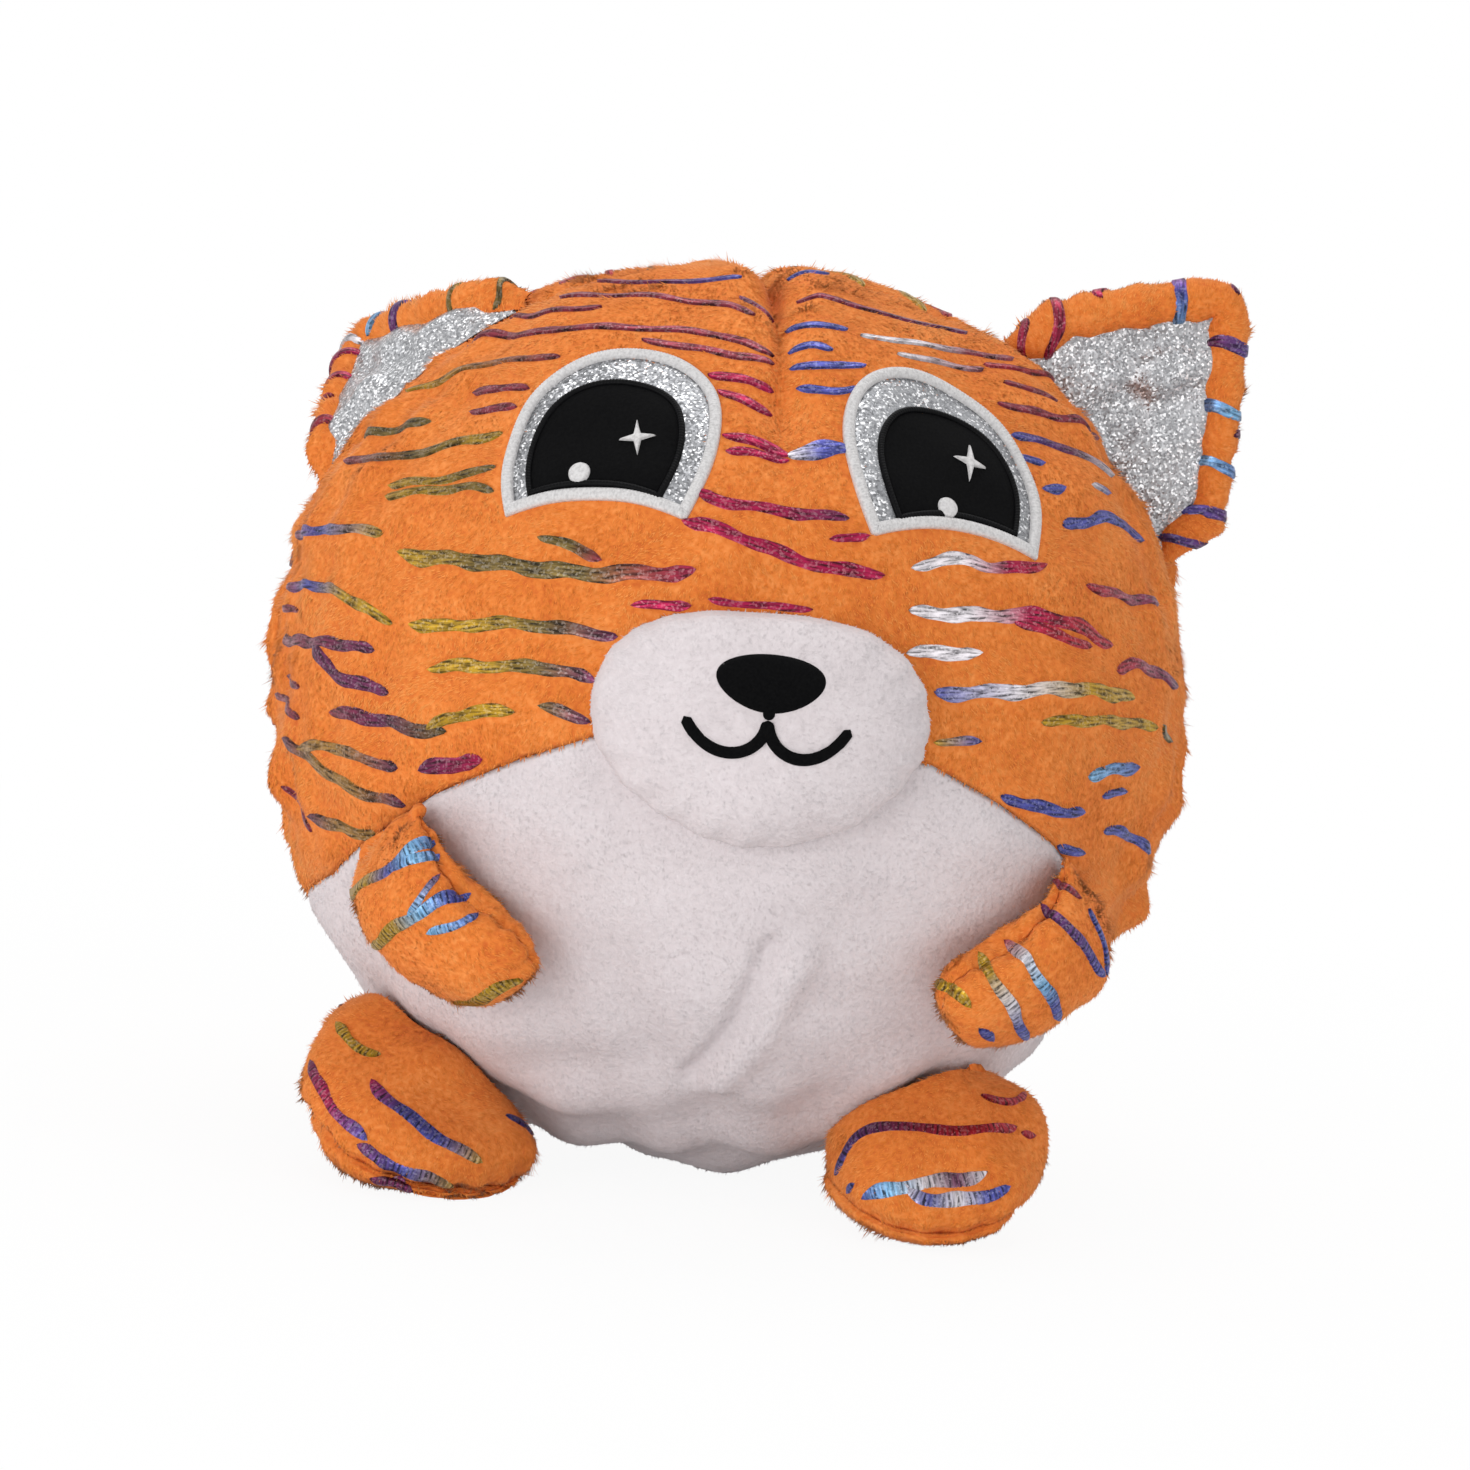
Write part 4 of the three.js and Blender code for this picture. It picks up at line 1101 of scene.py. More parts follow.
# %% Eye outlines
EYE_LONGITUDE, EYE_LATITUDE = 28.5, 37.4
EYE_SIZE = np.array([56, 59]) * MM
PUPIL_SIZE, PUPIL_SHIFT = np.array([40.5, 40]) * MM, np.array([0.6, -2.8]) * MM
BORDER_WIDTH, BORDER_HEIGHT = 3.5 * MM, 1.7 * MM
CORD_WIDTH, CORD_HEIGHT = 1.9 * MM, 0.5 * MM
THREAD = 0.9 * MM  # real threads, about 0.4 mm apart, are too fine to show
THREAD_ROWS, THREAD_SLANT, THREAD_RIPPLE = 4, 0.6, 0.16  # rows to a thread, its slant and its rise and fall
SATIN_COLUMNS = 16
STAR_PLACE, STAR_REACH, STAR_WAIST = np.array([7.5, 0.5]) * MM, np.array([5.2, 6.4]) * MM, 1.5 * MM
STAR_TILT = np.radians(-21)
DOT_PLACE, DOT_RADIUS = np.array([-3.9, -12.9]) * MM, 3.1 * MM
GLITTER_LIFT, PUPIL_LIFT = 0.5 * MM, 1.0 * MM
HIGHLIGHT_LIFT, HIGHLIGHT_CROWN = 1.7 * MM, 0.5 * MM
EYE_BARE = 1.04  # no pile grows inside the eye's outline, this much larger


def eye_outline(size, count=90):
    """A tall dome over a slightly arched lower edge: three Bezier curves, resampled evenly."""
    outer, inner, top = (0.4, -0.465), (-0.506, -0.342), (-0.05, 0.555)
    dome = bezier(outer, (0.68, 0.02), (0.45, 0.56), top), bezier(top, (-0.45, 0.56), (-0.6, 0.1), inner)
    lower = bezier(inner, (-0.05, -0.25), outer)
    return even_loop(np.concatenate([*(part[:-1] for part in dome), lower[:-1]]) * size, count)


def inward(line, reach=3):
    """Unit directions into a closed line that runs anticlockwise, smoothed over a few neighbours."""
    along = np.roll(line, -reach, axis=0) - np.roll(line, reach, axis=0)
    return unit(np.stack([-along[:, 1], along[:, 0]], axis=-1))


def satin(outline, width, height, place):
    """A band inside an outline: an arched section, rippled by its threads, carried round the outline."""
    length = np.linalg.norm(np.roll(outline, -1, axis=0) - outline, axis=1).sum()
    fine = even_loop(outline, round(length / THREAD) * THREAD_ROWS)
    inside = inward(fine, reach=2 * THREAD_ROWS)
    angle = round_angles(SATIN_COLUMNS)
    across, rise = (1 - np.cos(angle)) / 2, np.sin(angle)
    phase = np.arange(len(fine))[:, None] / THREAD_ROWS + THREAD_SLANT * across
    ripple = 1 + THREAD_RIPPLE * (np.abs(np.sin(np.pi * phase)) - 0.5)
    lift = np.where(rise > 0, np.abs(rise) ** 0.6 * height * ripple, -PATCH_SINK * np.abs(rise))
    spots = fine[:, None] + inside[:, None] * (width * across[..., None])
    ring = place(spots[..., 0], spots[..., 1], lift)
    return np.concatenate([ring, ring[:1]])


def star_outline():
    """Four points and the waists between them, each side bent inward, turned to lean."""
    quarter = np.pi / 2 * np.arange(4)
    reach = np.tile(STAR_REACH, 2)
    tips = np.stack([np.cos(quarter), np.sin(quarter)], axis=-1) * reach[:, None]
    waists = np.stack([np.cos(quarter + np.pi / 4), np.sin(quarter + np.pi / 4)], axis=-1) * STAR_WAIST
    points = np.stack([tips, waists], axis=1).reshape(-1, 2)
    spin = np.array([[np.cos(STAR_TILT), np.sin(STAR_TILT)], [-np.sin(STAR_TILT), np.cos(STAR_TILT)]])
    return even_loop(points @ spin, 64)


print("eye outline", len(eye_outline(EYE_SIZE)), "points")

# %% Eyes
def cut_cloth(piece, outline, held, under):
    """Declares a sheet by the outline it was cut to. Its area is half the sum of the cross products."""
    x, y = outline.T
    area = abs(np.sum(x * np.roll(y, -1) - y * np.roll(x, -1))) / 2
    width, length = np.ptp(outline, axis=0)
    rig.sheet(piece, flat=(float(width), float(length)), held=held, rests_on=[under], area=float(area))
    print(piece.name, "cut from", np.round(np.array([width, length]) / MM, 1), "mm")


def make_eye(side, mirror):
    """One eye in its frame on the ball; the left one is the right one mirrored, but for its highlights."""
    frame_ways = ball_frame(EYE_LONGITUDE, EYE_LATITUDE)

    def place(a, b, lift):
        """Points over the ball's skin at places in the eye's frame."""
        way = frame_ways(a, b) * [mirror, 1, 1]
        return ball_skin.at(*ball_share(way), lift)[0]

    def piece(name, grid, material, slot, *parts):
        """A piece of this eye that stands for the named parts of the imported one."""
        nodes = [f"{side}_eye_{part}" for part in parts]
        return make_piece(f"{side}_eye_{name}", [grid], material, "body", slot, nodes)

    rim = eye_outline(EYE_SIZE)
    glitter = rim + inward(rim) * BORDER_WIDTH * 0.5
    pupil = eye_outline(PUPIL_SIZE) + PUPIL_SHIFT
    star = star_outline() + STAR_PLACE * [mirror, 1]
    dot = np.stack([np.cos(turn), np.sin(turn)], axis=-1) * DOT_RADIUS + DOT_PLACE * [mirror, 1]
    sheet = flat_shape(glitter, place, GLITTER_LIFT)
    patch = piece("glitter", sheet, eye_glitter, "glitter_cloth", "glitter_patch")
    cut_cloth(patch, glitter, "laid", "face_cloth")
    sheet = flat_shape(pupil, place, PUPIL_LIFT)
    patch = piece("pupil", sheet, black_flock, "black_cloth", "pupil_patch")
    cut_cloth(patch, pupil, "laid", f"{side}_eye_glitter")
    cord = satin(pupil, CORD_WIDTH, PUPIL_LIFT + CORD_HEIGHT, place)
    piece("pupil_cord", cord, black_thread, "black_cloth")
    border = satin(rim, BORDER_WIDTH, BORDER_HEIGHT, place)
    piece("border", border, white_thread, "white_thread", "border_stitch")
    for name, outline in {"star": star, "dot": dot}.items():
        raised = flat_shape(outline, place, HIGHLIGHT_LIFT, crown=HIGHLIGHT_CROWN)
        piece(name, raised, white_thread, "white_thread", f"{name}_highlight")
    inside = grown(rim, np.linspace(0, EYE_BARE, 200))
    ball_skin.clear(*ball_share(frame_ways(inside[..., 0], inside[..., 1]) * [mirror, 1, 1]))


for side, mirror in SIDES.items():
    make_eye(side, mirror)
print("eyes set at longitude", EYE_LONGITUDE, "and latitude", EYE_LATITUDE)

# %% [markdown]
# ## Ears
# An ear is a triangle of plush whose edge rolls forward as a padded rim round a glitter lining. The rim is
# a tube along a rounded line, and it is gathered into small lumps, as a stuffed roll is. Near the ball the
# whole ear is drawn down onto the skin, so that no gap shows along the seam that it hinges on.

# %% Ear shape
EAR_LATITUDE = 38
EAR_UPPER_REACH = {"left": 37 * MM, "right": 34 * MM}  # from the hinge's middle toward the crown
EAR_LOWER_REACH = {"left": 36 * MM, "right": 44 * MM}
EAR_TIP_SHIFT = {"left": -6 * MM, "right": 6 * MM}
EAR_BOW = {"left": -2 * MM, "right": 3 * MM}
EAR_HEIGHT, EAR_TIP_ROUND = 46 * MM, 9 * MM
EAR_HINGE = 1.5 * MM
RIM_RADIUS = {"left": 5.4 * MM, "right": 5.2 * MM}
RIM_ROOT_RADIUS, RIM_SLOPE = 3.0 * MM, 0.35
RIM_LUMPS, RIM_RIPPLES = 9, 16  # along the whole rim
RIM_COLUMNS = 32
EAR_LEAN = {"left": 82, "right": 6}  # degrees back from upright
EAR_DRAPE = {"left": 1.0, "right": 0.0}  # how much of the ball's curve the folded ear follows
EAR_DRAWN = 9 * MM  # below this height the ear is drawn down onto the ball
EAR_BASE, EAR_SINK = -4 * MM, 3 * MM  # end of the sheets under the hinge, and into the ball
EAR_BEND = 10 * MM  # from this height on an ear turns fully with its hinge
COVER_BOW, COVER_HALF_THICKNESS = 4.4 * MM, 1.2 * MM
LINING_SHARE, LINING_HALF_THICKNESS = 0.92, 0.5 * MM
LINING_FRONT = 2.4 * MM  # before the ear's middle plane
LINING_DISH = 1.5 * MM  # bow backward between the rims
LINING_FOLD, LINING_FOLD_SIZE = 2.2 * MM, 17 * MM


def rim_line(side, count=140):
    """Middle of the rim in the ear's plane: from its upper root over the rounded tip to its lower root."""
    tip = np.array([EAR_TIP_SHIFT[side], EAR_HEIGHT + EAR_TIP_ROUND / 2])
    roots = np.array([[EAR_UPPER_REACH[side], 0], [-EAR_LOWER_REACH[side], 0]])
    near = tip + unit(roots - tip) * EAR_TIP_ROUND
    bow = (roots + near) / 2 + np.sign(roots) * EAR_BOW[side]
    upper, lower = bezier(roots[0], bow[0], near[0]), bezier(near[1], bow[1], roots[1])
    return even_line(np.concatenate([upper, bezier(near[0], tip, near[1]), lower]), count)


def rim_radius(line, fullest):
    """The rim's radius: it thins toward its roots and swells and narrows in small lumps along its length."""
    run = np.linspace(0, 1, len(line))
    swelling = 0.17 * np.abs(np.sin(np.pi * RIM_LUMPS * run + 0.6 * np.sin(7 * run)))
    ripples = 0.04 * np.sin(2 * np.pi * RIM_RIPPLES * run + 1)
    slimmer = 1.05 - 0.22 * run
    return np.minimum(fullest, RIM_ROOT_RADIUS + RIM_SLOPE * line[:, 1]) * (slimmer + swelling + ripples)


def ear_place(side, mirror):
    """A function from the ear's own plane into the toy: leaned about its hinge and drawn onto the skin."""
    seat = direction(90, EAR_LATITUDE)
    away = ball_normal(seat)
    along = np.array([-away[2], 0, away[0]])
    origin = on_ball(seat) + away * EAR_HINGE
    lean = np.radians(EAR_LEAN[side])
    up = away * np.cos(lean) + np.array([0, np.sin(lean), 0])
    back = np.array([0, np.cos(lean), 0]) - away * np.sin(lean)

    def place(x, y, z):
        drape = EAR_DRAPE[side] * x**2 / (2 * BALL_HALF_WIDTH)
        points = origin + along * x[..., None] + up * y[..., None] + back * z[..., None]
        points = points - away * drape[..., None]
        from_middle = points - BALL_MIDDLE
        way = unit(from_middle)
        height = np.linalg.norm(from_middle, axis=-1) - ball_radius(way)
        sunk = EAR_SINK * fade(y, 2 * MM, EAR_BASE)
        points = points - way * (height * fade(y, EAR_DRAWN, 0) + sunk)[..., None]
        return points * [mirror, 1, 1]

    return place


def make_ear(side, mirror):
    """Rim, bowed back sheet and glitter lining of one ear; returns the skins of the rim and the back."""
    body = f"{side}_ear"
    place = ear_place(side, mirror)
    zero = np.array(0.0)
    bends[body] = [place(zero, np.array(height), zero) for height in (0.0, EAR_BEND)]
    line = rim_line(side)
    angle = round_angles(RIM_COLUMNS)
    radius = rim_radius(line, RIM_RADIUS[side])[:, None]
    ring = line[:, None] + left_of(line)[:, None] * (radius * np.cos(angle))[..., None]
    rim = place(ring[..., 0], ring[..., 1], radius * np.sin(angle))
    caps = [end.mean(axis=1, keepdims=True).repeat(RIM_COLUMNS, axis=1) for end in (rim[:1], rim[-1:])]
    tube = np.concatenate([caps[0], rim, caps[1]])
    upper, lower = EAR_UPPER_REACH[side], EAR_LOWER_REACH[side]
    middle = np.array([(upper - lower + EAR_TIP_SHIFT[side]) / 3, EAR_HEIGHT / 3])
    base = np.stack([np.linspace(-lower, upper, 40), np.full(40, EAR_BASE)], axis=-1)
    outline = np.concatenate([line, base])
    share = np.linspace(0, 1, 24)[:, None]

    def sheet(size, bow, half_thickness, front=0.0, fold=0.0):
        """A bowed sheet inside the ear's outline, its two faces joined along the edge."""
        spots = middle + (outline - middle) * (size * share)[..., None]
        flat = np.concatenate([spots, 0 * spots[..., :1]], axis=-1)
        folds = fold * np.tanh(swell(flat, LINING_FOLD_SIZE, seed=15))
        dome = (bow + folds) * (1 - share**2) - front
        half = half_thickness * np.sqrt(1 - share**6)
        over, under = (place(spots[..., 0], spots[..., 1], dome + way * half) for way in (1, -1))
        return np.concatenate([over, under[-2::-1]])

    back = sheet(1.0, COVER_BOW, COVER_HALF_THICKNESS)
    cover_nodes, lining_nodes = [f"{body}_cover"], [f"{body}_lining"]
    cover = make_piece(f"{body}_plush", [tube, back], orange_backing, body, "orange_plush", cover_nodes)
    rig.padded(cover, 0.6)
    glitter = sheet(LINING_SHARE, LINING_DISH, LINING_HALF_THICKNESS, LINING_FRONT, LINING_FOLD)
    lining = make_piece(f"{body}_glitter", [glitter], ear_glitter_painted_bright, body, "glitter_cloth", lining_nodes)
    cut_cloth(lining, outline * LINING_SHARE, "stretched", f"{body}_plush")
    return Skin(tube), Skin(back)


ear_skins = {side: make_ear(side, mirror) for side, mirror in SIDES.items()}
print("ears:", list(ear_skins))

# %% [markdown]
# ## Arms
# Each arm is a small sausage sewn into the tummy's seam, and it lies on the tummy. Its rows are ellipses
# that swell from a flat root and close round the tip, seated on the ball's skin.

# %% Arms
ARM_LENGTH, ARM_HALF_WIDTH, ARM_HALF_THICKNESS = 56 * MM, 18 * MM, 13 * MM
ARM_ROOT_HALF_WIDTH, ARM_ROOT_HALF_THICKNESS = 14.5 * MM, 2.3 * MM
ARM_SLANT, ARM_SWELL = np.radians(12), 0.42
ARM_SAG = 1.6 * MM  # the arm hangs this much fuller on its lower side
ARM_ROWS, ARM_COLUMNS = 73, 72
ARM_BODY = 0.6  # share of the rows before the round tip
LIMB_DENT, LIMB_DENT_SIZE, LIMB_GROOVE = 0.5 * MM, 20 * MM, 1.1 * MM
FINE_GATHERS, FINE_GATHER = 11, 0.5 * MM  # number and height of the gathers along a limb's seam
BROAD_GATHERS, BROAD_GATHER = 6, 0.8 * MM
FIT = 0.3 * MM  # between pieces that touch
CORNER, FLANK, HIP = TUMMY_SEAM[3], TUMMY_SEAM[4], TUMMY_SEAM[5]


def arm_grid():
    """Right arm: v runs from the root round the tip, u round the arm, outer half first."""
    root = direction(*FLANK)
    away = ball_normal(root)
    seam = on_ball(direction(*CORNER)) - on_ball(direction(*HIP))
    along = unit(seam - away * (seam @ away))
    down = np.cross(away, along)
    straight = ARM_LENGTH - ARM_HALF_WIDTH
    share = np.linspace(0, 1, ARM_ROWS)[:, None]
    body = np.minimum(1, share / ARM_BODY) ** 1.3
    tip = np.maximum(0, (share - ARM_BODY) / (1 - ARM_BODY)) * np.pi / 2
    distance = straight * body + ARM_HALF_WIDTH * np.sin(tip)
    close = np.cos(tip) ** 0.8
    swelling = np.sin(np.minimum(1, distance / (ARM_SWELL * ARM_LENGTH)) * np.pi / 2)
    width = ARM_ROOT_HALF_WIDTH + (ARM_HALF_WIDTH - ARM_ROOT_HALF_WIDTH) * swelling
    thickness = ARM_ROOT_HALF_THICKNESS + (ARM_HALF_THICKNESS - ARM_ROOT_HALF_THICKNESS) * swelling
    spot = on_ball(root) + along * (distance * np.tan(ARM_SLANT)) + down * distance
    over = unit(spot - BALL_MIDDLE)
    normal = ball_normal(over)
    seat = on_ball(over) + normal * (FIT + thickness)
    angle = round_angles(ARM_COLUMNS)
    sag = ARM_SAG * np.sin(np.pi * np.minimum(1, distance / ARM_LENGTH)) ** 0.5
    across = (width - PILE_DEPTH + sag) * close * np.cos(angle) - sag * close
    rise = (thickness - PILE_DEPTH) * close * np.sin(angle)
    return seat[:, None] + along * across[..., None] + normal[:, None] * rise[..., None]


def sewn_limb(grid, seam_columns, seed):
    """A limb's settled skin with grooves along its side seams, small gathers beside them and soft dents."""
    u = np.arange(grid.shape[1])[None, :] / grid.shape[1]
    nearest = np.min([np.abs((u - spot + 0.5) % 1 - 0.5) for spot in seam_columns], axis=0)
    gather = hump(nearest, 0.03) * np.ones((len(grid), 1))
    settled = Skin(settled_grid(grid, gather, row_step=3, column_step=3))
    v = np.linspace(0, 1, len(grid))[:, None]
    ends = fade(v, 0, 0.15) * fade(v, 1, 0.85)
    dents = LIMB_DENT * swell(grid, LIMB_DENT_SIZE, seed)
    drawn = -LIMB_GROOVE * hump(nearest, 0.018)
    fine = FINE_GATHER * np.sin(2 * np.pi * FINE_GATHERS * v) * hump(nearest, 0.05)
    broad = BROAD_GATHER * np.abs(np.sin(np.pi * BROAD_GATHERS * v + 0.8)) * hump(nearest, 0.12)
    lift = dents + (drawn + fine + broad) * ends
    return Skin(settled.grid + settled.normals * lift[..., None])


def limb_cloth(name, grid, body, nodes):
    """A padded piece of orange plush on a limb."""
    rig.padded(make_piece(name, [grid], orange_backing, body, "orange_plush", nodes), 0.9)


def limb_half(skin, low, high, rows=90, columns=60):
    """Grid of a panel of a limb's skin between two shares round it."""
    v = np.linspace(0, 1, rows)[:, None]
    return cloth_panel(skin, v, np.linspace(low, high, columns)[None, :])


arm_skins = {}
for side, mirror in SIDES.items():
    arm = sewn_limb(arm_grid() * [mirror, 1, 1], seam_columns=(0.0, 0.5), seed=11 + mirror)
    body = f"{side}_arm"
    front_nodes, back_nodes = [f"{body}_front", f"{body}_stuffing"], [f"{body}_back"]
    limb_cloth(f"{body}_front_cloth", limb_half(arm, 0.0, 0.5), body, front_nodes)
    limb_cloth(f"{body}_back_cloth", limb_half(arm, 0.5, 1.0), body, back_nodes)
    arm_skins[side] = arm
print("arms:", list(arm_skins))

# %% [markdown]
# ## Feet
# A foot is a padded slipper under the ball's front: a sole, flat on the left foot and keeled on the right,
# a seam low round the outside, and a domed upper that leans outward. Where the ball would cut into it, the
# foot is pushed out along the ball's skin.

# %% Feet
FOOT_LONGITUDE = {"left": 50, "right": 38}
FOOT_HINGE = 17 * MM
FOOT_DOME = {"left": 34 * MM, "right": 39 * MM}  # height of the upper over its seam
FOOT_SEAM = {"left": 10 * MM, "right": 5 * MM}  # height of the seam in its middle
FOOT_HALF_LENGTH, FOOT_HALF_WIDTH, FOOT_BACK = 32.5 * MM, 31.5 * MM, 2 * MM
FOOT_RAKE, SOLE_SHARE = 0.25, 0.35
FOOT_INNER = {"left": 0.86, "right": 1.06}  # width of the inner side over that of the outer
FOOT_SPLAY = {"left": 0.5, "right": 0.32}  # how far each upper leans outward for its height
FOOT_TILT = {"left": 1.1, "right": 0.0}  # how much higher each seam runs on the outer side
FOOT_CURL = {"left": 0 * MM, "right": 9 * MM}  # how far the sole turns up on both sides of its keel
FOOT_KEEL = np.radians(50)  # way of the keel, from the inner side toward the toe
FOOT_TUCK = {"left": 0.0, "right": 0.1}  # share by which the sole is smaller all round
FOOT_UNDERCUT = {"left": 0.2, "right": -0.22}  # share cut from the sole, on the inner or the outer side
UNDERCUT_HEIGHT = 9 * MM
SEAM_NARROW = {"left": 0, "right": 2}  # power that keeps the seam's groove to the toe
FOOT_ROWS, FOOT_COLUMNS = 97, 96
SOLE_PART = 0.4  # share of the rows that lie under the seam
FOOT_GROOVE, FOOT_DENT, FOOT_DENT_SIZE = 1.6 * MM, 0.6 * MM, 24 * MM
FOOT_GATHERS, FOOT_GATHER = 17, 0.7 * MM  # number and height of the gathers round the seam


def foot_grid(side):
    """A foot as on the right: v runs from the sole's middle over the seam to the crown, u round the foot."""
    away = direction(FOOT_LONGITUDE[side], 0)
    along = np.cross(away, [0, 0, 1])
    drop = np.abs(FOOT_HINGE - BALL_MIDDLE[2]) / BALL_DROP
    level = (1 - drop**DROP_ROUNDNESS) ** (1 / DROP_ROUNDNESS)
    reach = level / np.hypot(away[0] / BALL_HALF_WIDTH, away[1] / BALL_HALF_DEPTH)
    v = np.linspace(0, 1, FOOT_ROWS)[:, None]
    angle = round_angles(FOOT_COLUMNS)[None, :]
    under = np.minimum(1, v / SOLE_PART)
    curve = np.maximum(0, (v - SOLE_PART) / (1 - SOLE_PART)) * np.pi / 2
    edge = np.clip((under - SOLE_SHARE) / (1 - SOLE_SHARE), 0, 1) * np.pi / 2
    share = np.where(v < SOLE_PART, np.minimum(under, SOLE_SHARE), np.cos(curve))
    share = share + (1 - SOLE_SHARE) * np.sin(edge) * (v < SOLE_PART)
    smaller = FOOT_TUCK[side] + np.maximum(0, FOOT_UNDERCUT[side] * np.cos(angle))
    share = share * (1 - smaller * np.exp(-FOOT_DOME[side] * np.sin(curve) / UNDERCUT_HEIGHT))
    back = -share * np.sin(angle)
    seam = FOOT_SEAM[side] * (1 - FOOT_TILT[side] * share * np.cos(angle))
    dome = (FOOT_DOME[side] - PILE_DEPTH) * np.sin(curve) * (1 + FOOT_RAKE * back)
    rise = seam * (1 - np.cos(edge)) + dome
    rise = rise + FOOT_CURL[side] * (share * np.sin(angle - FOOT_KEEL)) ** 2
    splay = FOOT_SPLAY[side] * np.maximum(0, rise - FOOT_SEAM[side])
    inner = np.where(np.cos(angle) > 0, FOOT_INNER[side], 1)
    across = share * inner * (FOOT_HALF_WIDTH - PILE_DEPTH) * np.cos(angle) - splay
    outward = reach + FOOT_HALF_LENGTH - FOOT_BACK - back * (FOOT_HALF_LENGTH - PILE_DEPTH)
    points = along * across[..., None] + away * outward[..., None] + np.array([0, 0, 1]) * rise[..., None]
    from_middle = points - BALL_MIDDLE
    way = unit(from_middle)
    short = ball_radius(way) + FIT + PILE_DEPTH - np.linalg.norm(from_middle, axis=-1)
    return points + way * np.maximum(0, short)[..., None]


def sewn_foot(grid, side, seed):
    """A foot's settled skin with its low seam drawn in between small gathers."""
    v = np.linspace(0, 1, FOOT_ROWS)[:, None]
    u = np.arange(FOOT_COLUMNS)[None, :] / FOOT_COLUMNS
    gather = hump(v - SOLE_PART, 0.03) * np.ones_like(u)
    settled = Skin(settled_grid(grid, gather, row_step=3, column_step=3))
    front = np.maximum(0, np.cos(2 * np.pi * u - FOOT_KEEL)) ** SEAM_NARROW[side]
    drawn = -FOOT_GROOVE * hump(v - SOLE_PART, 0.025)
    gathers = FOOT_GATHER * np.sin(2 * np.pi * FOOT_GATHERS * u) * hump(v - SOLE_PART, 0.09)
    dents = FOOT_DENT * swell(grid, FOOT_DENT_SIZE, seed) * fade(v, 0.3, 0.45)
    lift = (drawn + gathers) * front + dents
    return Skin(stand(settled.grid + settled.normals * lift[..., None]))


def foot_ring(skin, low, high, rows=60):
    """Grid of the sole or the upper: a closed ring of the foot's skin with an underside."""
    v = np.linspace(low, high, rows)[:, None]
    u = np.arange(FOOT_COLUMNS)[None, :] / FOOT_COLUMNS
    thin = np.minimum(1, 8 * np.sin(np.pi * np.linspace(0, 1, rows)))[:, None]
    over, under = skin.at(v, u)[0], skin.at(v, u, -PLUSH * thin * np.ones_like(u))[0]
    return np.concatenate([over, under[-2::-1]])


foot_skins = {}
for side, mirror in SIDES.items():
    foot = sewn_foot(foot_grid(side) * [mirror, 1, 1], side, seed=21 + mirror)
    body = f"{side}_foot"
    sole_nodes, upper_nodes = [f"{body}_sole", f"{body}_stuffing"], [f"{body}_upper"]
    limb_cloth(f"{body}_sole_cloth", foot_ring(foot, 0.0, SOLE_PART), body, sole_nodes)
    limb_cloth(f"{body}_upper_cloth", foot_ring(foot, SOLE_PART, 1.0), body, upper_nodes)
    foot_skins[side] = foot
print("feet:", list(foot_skins))

# %% [markdown]
# ## Foil stripes
# The tiger stripes are metal foil, stamped hot onto the pile. They lie at the height of the pile's tips,
# their edges are ragged, their colour changes along the way, and fine lines run through them where the
# foil cracked over the rows of the knit. Each stripe is a low flat ribbon along a smooth line on a skin,
# and it is shaded as the skin under it is. It carries its own colour and two lengths, along the knit's
# rows and across them, so the cracks follow the cloth wherever the stripe goes.

# %% Foil
# The lighter olive foil is olive painted lighter for stripes low on the left, against the shade there.
FOIL = {
    "gold": "#b08a1e", "olive": "#6f5c30", "maroon": "#8a2f3f", "magenta": "#a31446", "plum": "#6a2850",
    # the light blue foil colour is partly the foil's own, partly blue foil painted lighter where it glints
    "blue": "#4b4f9c", "cyan": "#7fb4dc", "silver": "#d9d3d8", "red": "#a82233", "bronze": "#a07636",
}
CRACK = 0.8 * MM  # real rows of the knit, about 0.6 mm apart, are too fine to show
CRACK_LENGTH = 6 * MM
# size of the specks painted brighter, toward white, as glints of foil flakes
PAINTED_GLINT_SIZE = 0.55 * MM  # flakes of foil that flash
FOIL_LIFT, FOIL_SINK = 0.8 * MM, 0.8 * MM  # a ribbon's top over the skin and its underside below it
FOIL_STEP = 1.0 * MM  # between the rows of a ribbon
FOIL_COLUMNS = 10
FOIL_WANDER = ((0.12, 3.1 * MM), (0.05, 1.3 * MM))  # share and length of each change of width
FOIL_SWAY, SWAY_LENGTH = 0.12, 2.9 * MM  # share of the width, off its line
FOIL_TAPER = 1.2  # widths over which a ribbon runs out at its ends


